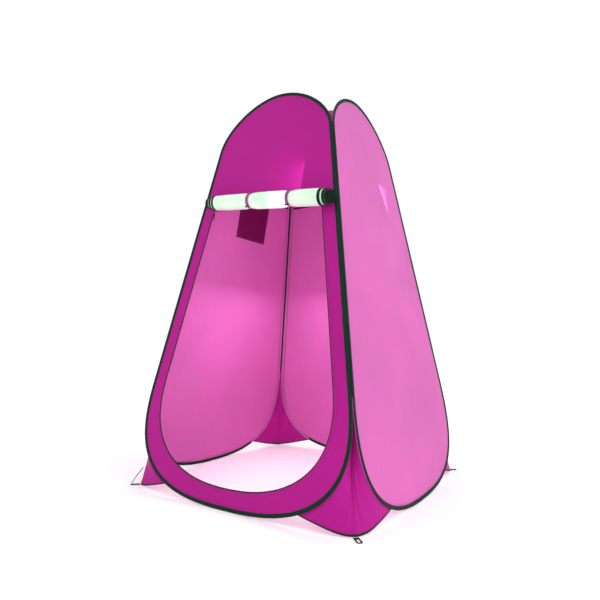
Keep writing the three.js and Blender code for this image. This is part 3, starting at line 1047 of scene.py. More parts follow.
@dataclass(frozen=True)
class DoorSizes:
    """The door opening in the front wall."""

    inset: float = 0.078
    bottom: float = 0.082
    arc: tuple[float, float] = (0.52, 2.3)
    top: float = 1.348

    def half_width(self, y: float) -> float:
        """Half width of the opening at a height on its straight sides."""
        return TENT.half_width(y) - self.inset

    def half_edge(self, top: float | None = None, steps: int = 30) -> np.ndarray:
        """The +x half of the opening's edge, from the bottom centre to the top corner."""
        side_y, exponent = self.arc
        t = np.linspace(0, math.pi / 2, steps, endpoint=False)
        y = side_y + (self.bottom - side_y) * np.sin(t) ** (2 / exponent)
        half = TENT.base_half - y * math.sin(TENT.lean) - self.inset
        low = np.stack([half * np.cos(t) ** (2 / exponent), y], 1)[::-1]
        ends = np.linspace(side_y, self.top if top is None else top, 34)[1:]
        straight = np.stack([[self.half_width(v) for v in ends], ends], 1)
        middle = np.linspace(0, low[0][0], 5)[:-1]
        start = np.stack([middle, np.full_like(middle, self.bottom)], 1)
        return np.concatenate([start, low, straight])

    def edge(self, top: float | None = None) -> np.ndarray:
        """The edge from the top left corner, round the bottom, to the top right corner."""
        right = self.half_edge(top)
        return np.concatenate([(right * [-1, 1])[::-1], right[1:]])


DOOR = DoorSizes()


@dataclass
class WallCloth:
    """One wall's cloth, stretched in its hoop, with soft waves and puckers at the binding."""

    shop: Workshop
    side: Side
    tuck: float = 0.0054
    rings: int = 30
    grid: tuple[int, int] = (70, 44)
    wave: float = 0.0022
    pucker: float = 0.0005

    def outline(self) -> np.ndarray:
        """The cloth's outer edge, inside the binding's fold."""
        line = Hoop(self.side).ring()
        return line + turned_left(line, True) * self.tuck

    def build(self) -> bpy.types.Object:
        """Builds the cloth.

        Returns:
            The piece.
        """
        centre = np.array([0.0, 0.76])
        outer = self.outline()
        if self.side is Side.FRONT:
            outer, inner = self.matched(outer, centre)
            share = (np.linspace(0, 1, self.rings) ** 1.25)[:, None, None]
            flat = outer[None] * (1 - share) + inner[None] * share
        else:
            inner = None
            flat = self.patch(outer)
        off = self.relief(flat, outer, inner)
        points = self.side.place(np.concatenate([flat, off[..., None]], -1))
        # The front wall takes the cloth copy with painted shade; the other walls take the copy with painted
        # light.
        cloth = self.shop.finishes.magenta if self.side is Side.FRONT else self.shop.finishes.orchid
        normals = np.broadcast_to(self.side.outwards(), points.shape)
        shell = Shell(points, TENT.cloth, flat, wrap_cols=inner is not None, normals=normals)
        piece = shell.build(f"{self.side.label}_wall_cloth", [cloth])
        if signed_volume(piece.data) < 0:
            piece.data.flip_normals()
        slot = "cloth" if self.side is Side.FRONT else "light_cloth"
        self.shop.fit(piece, self.side.body, [f"{self.side.label}_wall"], slot)
        area = polygon_area(outer)
        if inner is None:
            return piece
        border = area - polygon_area(inner)
        run = float(arc_lengths(inner, True)[-1])
        return piece

    def patch(self, outer: np.ndarray) -> np.ndarray:
        """Grid over a whole wall, blended from the four quarters of its outline.

        Args:
            outer: The outline, counter-clockwise from the bottom centre.

        Returns:
            Points with x and y, in rows from the bottom to the top.
        """
        hoop = Hoop(self.side)
        low = 5 + hoop.low_steps // 2
        high = 5 + hoop.low_steps + hoop.straight_steps - 2 + hoop.high_steps // 2
        count = len(outer)
        line = np.concatenate([outer, outer[: low + 1]])
        rows, cols = self.grid
        bottom = resampled(line[count - low: count + low + 1], cols)
        right = resampled(line[low: high + 1], rows)
        top = resampled(line[high: count - high + 1][::-1], cols)
        left = resampled(line[count - high: count - low + 1][::-1], rows)
        u = np.linspace(0, 1, cols)[None, :, None]
        v = np.linspace(0, 1, rows)[:, None, None]
        sides = (1 - v) * bottom[None] + v * top[None] + (1 - u) * left[:, None] + u * right[:, None]
        corners = (1 - v) * ((1 - u) * bottom[0] + u * bottom[-1]) + v * ((1 - u) * top[0] + u * top[-1])
        return sides - corners

    def matched(self, outer: np.ndarray, centre: np.ndarray) -> tuple[np.ndarray, np.ndarray]:
        """Points of the outer edge and of the opening's edge on the same rays from the centre."""
        opening = DOOR.edge()
        top = np.linspace(opening[-1], opening[0], 40)[1:-1]
        inner = np.concatenate([opening, top])

        def angles(points: np.ndarray) -> np.ndarray:
            """Angle of each point as seen from the centre."""
            return np.arctan2(points[:, 1] - centre[1], points[:, 0] - centre[0])

        corners = angles(opening[[0, -1]])
        wanted = np.sort(np.concatenate([angles(outer), angles(inner)]))
        keep = [corners.min(), corners.max()]
        for a in wanted:
            if min(abs(a - k) for k in keep) > 0.006:
                keep.append(a)
        rays = np.sort(np.array(keep))

        def on_rays(points: np.ndarray) -> np.ndarray:
            """Points where the rays from the centre cross a closed line."""
            order = np.argsort(angles(points))
            a = angles(points)[order]
            p = points[order]
            a = np.concatenate([[a[-1] - 2 * math.pi], a, [a[0] + 2 * math.pi]])
            p = np.concatenate([p[-1:], p, p[:1]])
            found = []
            for ray in rays:
                i = int(np.clip(np.searchsorted(a, ray), 1, len(a) - 1))
                direction = np.array([math.cos(ray), math.sin(ray)])
                step = p[i] - p[i - 1]
                matrix = np.array([direction, -step]).T
                if abs(np.linalg.det(matrix)) < 1e-12:
                    found.append(p[i])
                    continue
                distance, _ = np.linalg.solve(matrix, p[i - 1] - centre)
                found.append(centre + direction * distance)
            return np.array(found)

        return on_rays(outer), on_rays(inner)

    def relief(self, flat: np.ndarray, outer: np.ndarray, inner: np.ndarray | None) -> np.ndarray:
        """How far each point of the cloth stands off the wall's plane.

        Args:
            flat: Grid of points with x and y.
            outer: The cloth's outline.
            inner: The opening's edge, or None.

        Returns:
            One distance for each point of the grid.
        """
        place = np.concatenate([flat, np.full((*flat.shape[:2], 1), self.side.value * 1.7)], -1)
        reach = np.linalg.norm(flat[:, :, None] - outer[None, None], axis=-1)
        distance = reach.min(-1)
        hold = 1 - np.exp(-distance / 0.05)
        if inner is not None:
            to_edge = np.linalg.norm(flat[:, :, None] - inner[None, None], axis=-1).min(-1)
            hold = hold * (0.15 + 0.85 * (1 - np.exp(-to_edge / 0.06)))
        waves = noise_at(place, (0.34, 0.5, 1.0), 1.3) * self.wave
        ripples = noise_at(place, (0.11, 0.26, 1.0), 7.7) * self.wave * 0.3
        along = arc_lengths(outer, True)[:-1][reach.argmin(-1)]
        gathers = np.sin(along * 2 * math.pi / 0.031 + 3 * np.sin(along * 9))
        near = np.exp(-distance / 0.035) * (1 - np.exp(-distance / 0.006))
        return hold * (waves + ripples) + near * gathers * self.pucker


def grid_area(grid: np.ndarray) -> float:
    """Area of a sheet from its grid of points."""
    a, b, c, d = grid[:-1, :-1], grid[:-1, 1:], grid[1:, 1:], grid[1:, :-1]
    return float(np.linalg.norm(np.cross(c - a, d - b), axis=-1).sum() / 2)


def mean_cut(grid: np.ndarray) -> tuple[float, float]:
    """Mean width of a sheet's flat cut, and its length down the middle column."""
    length = float(arc_lengths(grid[:, grid.shape[1] // 2])[-1])
    return grid_area(grid) / length, length


def polygon_area(points: np.ndarray) -> float:
    """Area inside a flat closed line."""
    x, y = points[:, 0], points[:, 1]
    return float(abs(np.dot(x, np.roll(y, -1)) - np.dot(y, np.roll(x, -1))) / 2)


@dataclass
class HangingTape:
    """Woven tape sewn across the inside of a wall to hang things from."""

    shop: Workshop
    side: Side
    y: float = 1.55
    width: float = 0.012

    def build(self) -> bpy.types.Object:
        """Builds the tape and its stitches.

        Returns:
            The tape.
        """
        half = TENT.half_width(self.y) - TENT.open_edge_gap - 0.013
        x = np.linspace(-half, half, 120)
        across = np.array([-0.5, -0.42, -0.14, 0.14, 0.42, 0.5]) * self.width
        sag = 0.0016 * np.sin(x / 0.055) ** 2
        points = np.stack(np.broadcast_arrays(
            x[:, None], self.y + across[None, :], -(0.0019 + sag)[:, None] * np.ones((1, 6))
        ), -1)
        uv = np.stack(np.broadcast_arrays(x[:, None], across[None, :]), -1)
        shell = Shell(self.side.place(points), 0.0011, uv)
        piece = shell.build(f"{self.side.label}_inner_tape", [self.shop.finishes.seam])
        if signed_volume(piece.data) < 0:
            piece.data.flip_normals()
        self.shop.fit(piece, self.side.body, [f"{self.side.label}_hanging_tape"], "inner_tape")
        loops = np.arange(-half + 0.03, half, 0.1727)
        bars = [
            self.side.place(np.array([[v, self.y - 0.005, -0.0036], [v, self.y + 0.005, -0.0036]]))
            for v in loops
        ]
        name = f"{self.side.label}_inner_tape_stitches"
        self.shop.stitches(name, bars, -self.side.outwards(), self.side.body, pitch=0.0016)
        return piece


@dataclass
class Pocket:
    """Flat pouch on the inside of the left wall, its mouth open at the top."""

    shop: Workshop
    width: float = 0.25
    height: float = 0.25
    top: float = 1.535
    shift: float = -0.014
    mouth: float = 0.0135
    toe: float = 0.0036
    side: Side = Side.LEFT

    def depth(self, u: np.ndarray, v: np.ndarray) -> np.ndarray:
        """How far the front ply stands off the wall, from its place across and up."""
        slack = self.toe + (self.mouth - self.toe) * v**1.3
        across = 1 - np.abs(2 * u - 1) ** 5
        droop = 0.0012 * np.sin(u * 9.0) * v
        return 0.0022 + (slack - 0.0022) * across + droop * across

    def build(self) -> bpy.types.Object:
        """Builds the pouch as one folded sheet, and its stitches.

        Returns:
            The pouch.
        """
        u = np.linspace(0, 1, 40)
        v = np.linspace(0, 1, 26)
        uu, vv = np.meshgrid(u, v)
        x = self.shift + (uu - 0.5) * self.width
        y = self.top - self.height + vv * self.height
        y = y - 0.004 * np.sin(np.pi * uu) * vv
        front = np.stack([x, y, -self.depth(uu, vv) - 0.0011], -1)
        back = np.stack([x, y, np.full_like(x, -0.0016)], -1)
        points = np.concatenate([front[::-1], back])
        uv = np.stack([np.concatenate([x[::-1], x]), np.concatenate([2.9 - y[::-1], y])], -1)
        shell = Shell(self.side.place(points), 0.0009, uv)
        piece = shell.build("pocket_pouch", [self.shop.finishes.pocket])
        if signed_volume(piece.data) < 0:
            piece.data.flip_normals()
        self.shop.fit(piece, self.side.body, ["inner_pocket"], "pocket")
        left = np.stack([x[:, 1], y[:, 1], -self.depth(uu, vv)[:, 1] - 0.0018], -1)
        right = np.stack([x[:, -2], y[:, -2], -self.depth(uu, vv)[:, -2] - 0.0018], -1)
        hem = np.stack([x[-3], y[-3], -self.depth(uu, vv)[-3] - 0.0018], -1)
        foot = np.stack([x[1], y[1], -self.depth(uu, vv)[1] - 0.0018], -1)
        lines = [self.side.place(line) for line in (left, right, hem, foot)]
        self.shop.stitches(
            "pocket_stitches", lines, -self.side.outwards(), self.side.body,
            self.shop.finishes.pink_thread, 0.0045,
        )
        return piece


# ---------------------------------------------------------------- zip


@dataclass
class DoorZip:
    """Zip tape, cord edge and coil round the door opening."""

    shop: Workshop
    tape: float = 0.0125
    coil_pitch: float = 0.0024

    def strip(
        self, name: str, outline: np.ndarray, finish: bpy.types.Material, node: str | None, slot: str
    ) -> bpy.types.Object:
        """Sweeps a section along the opening's edge.

        Args:
            name: Name of the piece.
            outline: Section: distance into the opening, and off the wall's plane.
            finish: Material.
            node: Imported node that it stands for, or None.
            slot: Record's material slot.

        Returns:
            The piece.
        """
        line = DOOR.edge(DOOR.top - 0.003)
        into = turned_left(line, False)
        flat = line[:, None, :] + into[:, None, :] * outline[None, :, 0, None]
        off = np.broadcast_to(outline[None, :, 1, None], (*flat.shape[:2], 1))
        rings = Side.FRONT.place(np.concatenate([flat, off], 2))
        uv = np.stack(np.broadcast_arrays(
            arc_lengths(line)[:, None], arc_lengths(outline, True)[None, :-1]
        ), -1)
        piece = section_sweep(name, rings, [finish], False, 0, uv)
        return self.shop.fit(piece, Side.FRONT.body, [node] if node else [], slot)

    def build(self) -> None:
        """Builds the tape, the dark cord edge, the coil and the stitches."""
        flat_tape = np.array([
            [-self.tape, 0.0009], [-0.0012, 0.0009], [-0.0012, 0.0017],
            [-0.006, 0.00175], [-self.tape + 0.0006, 0.0017],
        ])
        self.strip("zip_tape_wall_side", flat_tape, self.shop.finishes.magenta, "door_zip_tape", "cloth")
        turn = np.linspace(0, 2 * math.pi, 9)[:-1]
        cord = np.stack([0.0004 + 0.0023 * np.cos(turn), 0.0023 * np.sin(turn)], 1)
        self.strip("zip_edge_cord", cord, self.shop.finishes.zip_tape, "door_zip_teeth", "zip_tape")
        line = DOOR.edge(DOOR.top - 0.003)
        into = turned_left(line, False)

        def beside(distance: float, off: float) -> np.ndarray:
            """The opening's edge moved sideways and off the wall, in the tent's frame."""
            moved = line + into * distance
            return Side.FRONT.place(np.concatenate([moved, np.full((len(moved), 1), off)], 1))

        coil = self.shop.rows.lay(
            "zip_coil", [beside(0.0030, 0.0)], Side.FRONT.outwards(),
            (self.coil_pitch, 0.0013, 0.0030, 0.0026), self.shop.finishes.coil,
        )
        self.shop.fit(coil, Side.FRONT.body, slot="zip_tape")
        rows = [beside(-0.0030, 0.0019), beside(-0.0110, 0.0019)]
        self.shop.stitches(
            "zip_tape_stitches", rows, Side.FRONT.outwards(), Side.FRONT.body,
            self.shop.finishes.pink_thread,
        )


# ---------------------------------------------------------------- rolled door


@dataclass
class RolledDoor:
    """The door, rolled up from its foot with the lining outwards, across the front.

    The roll is one sheet wound in a spiral. The turns reach further out towards the core, so the
    zip tapes on the door's side edges show as bands that step out at both ends.
    """

    shop: Workshop
    centre: tuple[float, float] = (0.042, 1.338)
    tilt: float = math.radians(-6.1)
    stand_off: float = 0.0435
    turns: int = 10
    core: float = 0.0055
    tape: float = 0.0135
    ties: tuple[float, float] = (-0.083, 0.141)
    waist: float = 0.0335

    def place(self, points: np.ndarray) -> np.ndarray:
        """Moves points from the roll's frame: along it, up the wall and off the wall."""
        p = np.asarray(points, float)
        sin, cos = math.sin(self.tilt), math.cos(self.tilt)
        x = self.centre[0] + p[..., 0] * cos - p[..., 1] * sin
        y = self.centre[1] + p[..., 0] * sin + p[..., 1] * cos
        return Side.FRONT.place(np.stack([x, y, p[..., 2] + self.stand_off], -1))

    def radius(self, s: np.ndarray) -> np.ndarray:
        """Outer radius of the roll at a place along it."""
        marks = np.array([-0.36, -0.30, -0.20, -0.12, self.ties[0], -0.045, 0.03, 0.10,
                          self.ties[1], 0.18, 0.24, 0.30, 0.36])
        sizes = np.array([0.0345, 0.0355, 0.0380, 0.0370, self.waist, 0.0385, 0.0395, 0.0380,
                          self.waist, 0.0380, 0.0385, 0.0375, 0.0365])
        smooth = np.interp(s, marks, sizes)
        for tie in self.ties:
            pinch = np.exp(-((s - tie) / 0.014) ** 2)
            smooth = smooth * (1 - pinch) + self.waist * pinch
        return smooth

    def reach(self, turn: np.ndarray, end: int) -> np.ndarray:
        """How far each turn reaches towards an end, from its number of turns in from outside.

        Args:
            turn: Number of turns from the outer edge inwards.
            end: -1 for the left end and 1 for the right.

        Returns:
            Distance from the roll's middle.
        """
        marks = [0.0, 0.90, 1.06, 1.90, 2.06, 2.90, 3.06, 10.0]
        left = [0.309, 0.309, 0.329, 0.329, 0.3475, 0.3475, 0.3565, 0.358]
        right = [0.311, 0.311, 0.3315, 0.3315, 0.3445, 0.3445, 0.355, 0.359]
        return np.interp(turn, marks, left if end < 0 else right)

    def build(self) -> bpy.types.Object:
        """Builds the wound sheet.

        Returns:
            The piece.
        """
        outer = np.linspace(0, 1, 73)
        inner = np.linspace(1, self.turns, (self.turns - 1) * 26 + 1)[1:]
        turn = np.concatenate([outer, inner])
        middle = self.stations()
        left, right = self.reach(turn, -1), self.reach(turn, 1)
        span = left + right
        edge = self.tape / span
        count = len(middle)
        share = edge[:, None] + (1 - 2 * edge[:, None]) * middle[None, :]
        rim = np.stack([np.zeros_like(edge), edge * 0.35, edge * 0.7, edge * 0.97], 1)
        share = np.concatenate([rim, share, 1 - rim[:, ::-1]], 1)
        s = -left[:, None] + span[:, None] * share
        whole = self.radius(s)
        start = math.radians(190)
        angle = start + 2 * math.pi * turn[:, None] * np.ones_like(s)
        depth = (turn / self.turns)[:, None]
        r = whole * (1 - depth) + self.core * depth
        near_tie = sum(np.exp(-(np.abs(s - tie) / 0.034)) for tie in self.ties)
        gathers = np.sin(angle * 13 + 2 * np.sin(angle * 3 + s * 20))
        r = r + gathers * near_tie * 0.0007 * (1 - depth)
        place = np.stack([s, np.cos(angle), np.sin(angle)], -1)
        r = r + noise_at(place, (0.07, 0.9, 0.9), 4.2) * 0.0011 * (1 - depth)
        droop = np.where(np.sin(angle) < 0, 0.0012 * np.sin(angle), 0.0) * (1 - depth)
        y = r * np.sin(angle) + droop
        z = r * np.cos(angle)
        points = self.place(np.stack([s, y, z], -1))
        uv = np.stack([s, arc_lengths(np.stack([r[:, count // 2] * np.cos(angle[:, 0]),
                                                r[:, count // 2] * np.sin(angle[:, 0])], 1))[:, None]
                       * np.ones_like(s)], -1)
        thickness = 0.0009
        shell = Shell(points, thickness, uv)
        cols = s.shape[1] - 1
        bands = np.zeros((len(turn) - 1, cols), int)
        bands[:, :4] = 1
        bands[:, -4:] = 1
        inside = np.where(bands == 1, 1, 2)
        fin = self.shop.finishes
        piece = shell.build("rolled_door", [fin.lining, fin.zip_tape, fin.magenta], bands, inside)
        if signed_volume(piece.data) < 0:
            piece.data.flip_normals()
        self.shop.fit(
            piece, Side.FRONT.body,
            ["door_roll", "door_roll_zip_edge_left", "door_roll_zip_edge_right"], "door_lining",
        )
        self.build_head()
        self.build_core()
        self.build_coils()
        return piece

    def stations(self) -> np.ndarray:
        """Places along the sheet, closer together near the ties, from 0 to 1."""
        s = np.linspace(-0.30, 0.30, 2400)
        density = 1.0 + sum(3.0 * np.exp(-((s - tie) / 0.03) ** 2) for tie in self.ties)
        total = np.concatenate([[0.0], np.cumsum((density[1:] + density[:-1]) / 2)])
        return np.interp(np.linspace(0, total[-1], 74), total, np.linspace(0, 1, 2400))

    def build_head(self) -> None:
        """Builds the top of the door, from its seam on the wall to the back of the roll."""
        s = np.linspace(-0.303, 0.303, 60)
        back = -self.radius(s) * 0.93
        rows = []
        for t in np.linspace(0, 1, 10):
            y = np.full_like(s, 0.046 * (1 - t) ** 1.5)
            z = -0.0423 * (1 - t) + back * t
            rows.append(np.stack([s, y, z], -1))
        points = self.place(np.array(rows))
        uv = np.stack(np.broadcast_arrays(s[None, :], np.linspace(0, 0.06, 10)[:, None]), -1)
        shell = Shell(points, 0.0008, uv)
        piece = shell.build("door_head", [self.shop.finishes.magenta])
        if signed_volume(piece.data) < 0:
            piece.data.flip_normals()
        self.shop.fit(piece, Side.FRONT.body, slot="cloth")
        mean_cut(points)

    def build_core(self) -> None:
        """Builds the bunched foot of the door that fills the roll's core at each end."""
        for name, end in (("left", -1), ("right", 1)):
            turn = np.linspace(0, 2 * math.pi, 25)[:-1]
            rings = []
            for r, s in ((0.0052, 0.30), (0.0052, 0.352), (0.0044, 0.357), (0.0022, 0.359)):
                wobble = 1 + 0.12 * np.sin(turn * 5 + end)
                rings.append(np.stack([
                    np.full_like(turn, end * s), r * wobble * np.sin(turn), r * wobble * np.cos(turn),
                ], -1))
            rings = self.place(np.array(rings))
            uv = np.stack(np.broadcast_arrays(turn[None, :] * 0.005, np.arange(4)[:, None] * 0.01), -1)
            fin = self.shop.finishes
            piece = section_sweep(f"door_core_{name}", rings, [fin.zip_tape], False, 0, uv)
            self.shop.fit(piece, Side.FRONT.body, slot="zip_tape")

    def build_coils(self) -> None:
        """Lays the zip coil on the outer turns' edges, round the roll."""
        lines = []
        for end in (-1, 1):
            for first, last in ((0.02, 0.98), (1.0, 1.98), (2.0, 2.98)):
                turn = np.linspace(first, last, 90)
                s = end * (self.reach(turn, end) - 0.0018)
                angle = math.radians(190) + 2 * math.pi * turn
                whole = self.radius(s)
                depth = turn / self.turns
                r = whole * (1 - depth) + self.core * depth + 0.0009
                lines.append(self.place(np.stack([s, r * np.sin(angle), r * np.cos(angle)], -1)))
        along = self.place(np.array([1.0, 0, 0])) - self.place(np.zeros(3))
        coil = self.shop.rows.lay(
            "rolled_door_coil", lines, along, (0.0026, 0.0015, 0.0016, 0.0026), self.shop.finishes.coil
        )
        self.shop.fit(coil, Side.FRONT.body, slot="zip_tape")


@dataclass
class DoorTie:
    """Strap round the roll, sewn to the wall above it and closed by a toggle."""

    shop: Workshop
    roll: RolledDoor
    label: str
    at: float
    width: float = 0.0155

    def build(self) -> None:
        """Builds the strap, the toggle and their stitches."""
        angle = np.linspace(math.radians(176), math.radians(176 - 352), 56)
        across = np.array([-0.5, -0.44, -0.2, 0.2, 0.44, 0.5]) * self.width
        s = self.at + across
        base = self.roll.radius(np.array([self.at]))[0] + 0.0014
        swell = 0.0003 * np.sin(angle * 7)
        dish = np.array([0.0010, 0.0007, 0.0, 0.0, 0.0007, 0.0010])
        r = base + swell[:, None] + dish[None, :]
        ring = np.stack([
            np.broadcast_to(s, r.shape), r * np.sin(angle)[:, None], r * np.cos(angle)[:, None],
        ], -1)
        tail_y = np.linspace(0.054, 0.006, 12)
        tail_z = np.interp(tail_y, [0.0, 0.014, 0.034, 0.054], [-base, -base, -0.0405, -0.0415])
        tail = np.stack(np.broadcast_arrays(s[None, :], tail_y[:, None], tail_z[:, None]), -1)
        sheet = np.concatenate([tail, ring[1:]])
        lengths = arc_lengths(sheet[:, 3])
        uv = np.stack(np.broadcast_arrays(lengths[:, None], across[None, :]), -1)
        shell = Shell(self.roll.place(sheet), 0.0013, uv)
        piece = shell.build(f"tie_strap_{self.label}", [self.shop.finishes.strap])
        if signed_volume(piece.data) < 0:
            piece.data.flip_normals()
        self.shop.fit(piece, Side.FRONT.body, [f"door_tie_{self.label}"], "tie")
        box = [
            np.array([[self.at + a, y, -0.0402] for a, y in path])
            for path in (
                [(-0.005, 0.051), (0.005, 0.051)], [(-0.005, 0.041), (0.005, 0.041)],
                [(-0.005, 0.041), (-0.005, 0.051)], [(0.005, 0.041), (0.005, 0.051)],
                [(-0.005, 0.041), (0.005, 0.051)], [(0.005, 0.041), (-0.005, 0.051)],
            )
        ]
        self.shop.stitches(
            f"tie_stitches_{self.label}", [self.roll.place(p) for p in box],
            Side.FRONT.outwards(), Side.FRONT.body, self.shop.finishes.pink_thread, 0.0022,
        )
        self.build_toggle()

    def build_toggle(self) -> None:
        """Builds the toggle: a moulded pin with a waist, through the strap's closing loop."""
        reach = 0.0342 + 0.0085
        middle = math.radians(-62)
        centre_y, centre_z = reach * math.sin(middle), reach * math.cos(middle)
        turn = np.linspace(0, 2 * math.pi, 19)[:-1]
        profile = [
            (0.0003, -0.0110), (0.0016, -0.0108), (0.0026, -0.0100), (0.0033, -0.0084), (0.0035, -0.0060),
            (0.0031, -0.0035), (0.0026, -0.0020), (0.0024, 0.0), (0.0026, 0.0020), (0.0031, 0.0035),
            (0.0035, 0.0060), (0.0033, 0.0084), (0.0026, 0.0100), (0.0016, 0.0108), (0.0003, 0.0110),
        ]
        rings = np.array([
            np.stack([
                np.full_like(turn, self.at + s), centre_y + r * np.sin(turn), centre_z + r * np.cos(turn),
            ], -1) for r, s in profile
        ])
        piece = section_sweep(
            f"toggle_{self.label}", self.roll.place(rings), [self.shop.finishes.moulded], False
        )
        self.shop.fit(piece, f"tie_toggle_{self.label}", [f"tie_toggle_{self.label}"], "toggle")


# ---------------------------------------------------------------- gussets, hems, roof and feet


@dataclass
class Gusset:
    """Corner cloth from one hoop's low curve, round a soft fold over the foot, to the next."""

    shop: Workshop
    corner: Corner
    bow: float = 0.018
    across: int = 46
    down: int = 40

    def edges(self) -> tuple[np.ndarray, np.ndarray]:
        """The two hoop lines that the cloth is sewn to, from the seam down to the hem."""
        first, second = self.corner.walls
        lines = []
        for side, edge in ((first, 1), (second, -1)):
            hoop = Hoop(side, low_steps=60)
            half = hoop.half(edge)
            left = turned_left(half, False)
            outside = half - left * (TENT.bead_out - 0.0022)
            low = outside[(half[:, 1] < TENT.low_arc[0] + 0.001) & (half[:, 0] > TENT.hem_x - 0.02)]
            index = int(np.argmax(low[:, 0] > TENT.hem_x))
            a, b = low[index - 1], low[index]
            start = a + (b - a) * (TENT.hem_x - a[0]) / (b[0] - a[0])
            line = resampled(np.concatenate([[start], low[index:]])[::-1], self.down)
            off = np.full((len(line), 1), -0.0008)
            lines.append(side.place(np.concatenate([line * [edge, 1], off], 1)))
        return lines[0], lines[1]

    def surface(self) -> np.ndarray:
        """Grid of points: rows from the seam down to the hem, columns from hoop to hoop."""
        a, b = self.edges()
        signs = self.corner.signs
        t = np.linspace(0, 1, self.down)
        top = a[0][2]
        share = np.clip((a[:, 2] - a[-1, 2]) / (top - a[-1, 2]), 0, 1)
        corner_half = TENT.base_half - top * math.tan(TENT.lean) - 0.001
        half = TENT.foot + (corner_half - TENT.foot) * share - self.bow * np.sin(np.pi * share)
        z = 0.0035 + (top - 0.0035) * share
        fold = np.stack([half * signs[0], half * signs[1], z], 1)
        weight = 2.2 + 5.0 * (1 - t)[:, None]
        control = ((2 + 2 * weight) * fold - (a + b)) / (2 * weight)
        u = np.linspace(0, 1, self.across)
        u = (u + 0.12 * np.sin(2 * np.pi * u) * 0.5)[None, :, None]
        w = weight[:, None, :]
        top_part = (1 - u) ** 2 * a[:, None] + 2 * w * u * (1 - u) * control[:, None] + u**2 * b[:, None]
        grid = top_part / ((1 - u) ** 2 + 2 * w * u * (1 - u) + u**2)
        normals = grid_normals(grid, False, False)
        if (normals[self.down // 2, self.across // 2] * signs * [1, 1, 0]).sum() < 0:
            normals = -normals
        place = np.stack(np.broadcast_arrays(u[..., 0], t[:, None], np.array(self.seed)), -1)
        folds = noise_at(place, (0.11, 0.9, 1.0), 2.4) * 0.0050
        creases = noise_at(place, (0.045, 0.4, 1.0), 8.8) * 0.0016
        hold = np.sin(np.pi * np.linspace(0, 1, self.across)) ** 0.8
        loose = np.clip(t * 1.6, 0, 1)
        return grid + normals * ((folds + creases) * hold[None, :] * loose[:, None])[..., None]

    @property
    def seed(self) -> float:
        """Offset of the fold pattern, so that no two gussets are alike."""
        return {"FRONT_RIGHT": 0.3, "BACK_RIGHT": 3.9, "BACK_LEFT": 5.2, "FRONT_LEFT": 9.1}[self.corner.name]

    def build(self) -> None:
        """Builds the cloth and its hem, in one piece or in two halves at the open corner."""
        grid = self.surface()
        names = [f"{self.corner.label}_gusset", f"{self.corner.label}_gusset_hem"]
        if self.corner is Corner.BACK_LEFT:
            self.build_halves(grid, names)
            return
        cloth = self.cloth_piece(f"{self.corner.label}_gusset_cloth", grid)
        hem = self.hem_piece(f"{self.corner.label}_hem_tape", grid)
        stitches = self.hem_stitches(grid)
        tied = {
            Corner.FRONT_RIGHT: (Side.FRONT, Side.RIGHT),
            Corner.FRONT_LEFT: (Side.FRONT, Side.LEFT),
            Corner.BACK_RIGHT: (Side.RIGHT, Side.BACK),
        }[self.corner]
        middle = grid[-1][self.across // 2]
        toward = self.edge_of(grid, tied[1])[-1] - middle
        for piece in (cloth, hem, stitches):
            tied[0].body
            tied[1].body
            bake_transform(piece)
        self.shop.fit(cloth, None, names[:1], "cloth")
        self.shop.fit(hem, None, names[1:], "binding")
        self.declare(grid)

    def build_halves(self, grid: np.ndarray, names: list[str]) -> None:
        """Builds the open corner's cloth and hem as one half on each wall."""
        middle = self.across // 2
        first, second = self.corner.walls
        parts = [(second, grid[:, middle:], names), (first, grid[:, : middle + 1], [])]
        for side, part, replaced in parts:
            cloth = self.cloth_piece(f"{self.corner.label}_gusset_{side.label}_half", part)
            hem = self.hem_piece(f"{self.corner.label}_hem_{side.label}_half", part)
            self.shop.fit(cloth, side.body, replaced[:1], "cloth")
            self.shop.fit(hem, side.body, replaced[1:], "binding")
            self.declare(part)
            sewn = self.edge_of(grid, side)[-1]
            for piece in (cloth, hem):
                tuple(side.outwards())
                tuple(sewn)
                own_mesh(piece)

    def edge_of(self, grid: np.ndarray, side: Side) -> np.ndarray:
        """The grid's column at the hoop of one of its two walls."""
        return grid[:, 0] if side is self.corner.walls[0] else grid[:, -1]

    def declare(
        self, grid: np.ndarray
    ) -> None:
        mean_cut(grid)

    def cloth_piece(self, name: str, grid: np.ndarray) -> bpy.types.Object:
        """The cloth as a thin closed sheet."""
        across = np.concatenate([[0], np.cumsum(np.linalg.norm(np.diff(grid[-1], axis=0), axis=1))])
        down = np.linspace(0, 0.5, grid.shape[0])
        uv = np.stack(np.broadcast_arrays(across[None, :], down[:, None]), -1)
        piece = Shell(grid, 0.0010, uv).build(name, [self.shop.finishes.magenta])
        if signed_volume(piece.data) < 0:
            piece.data.flip_normals()
        return piece

    def hem_frame(self, grid: np.ndarray) -> tuple[np.ndarray, np.ndarray, np.ndarray]:
        """The hem's line, its outward directions and its downward ones, along the cloth's foot."""
        line = grid[-1]
        down = unit(grid[-1] - grid[-2])
        along = unit(np.gradient(line, axis=0))
        out = unit(np.cross(along, down))
        if (out.mean(0) * self.corner.signs * [1, 1, 0]).sum() < 0:
            out = -out
        return line, out, down

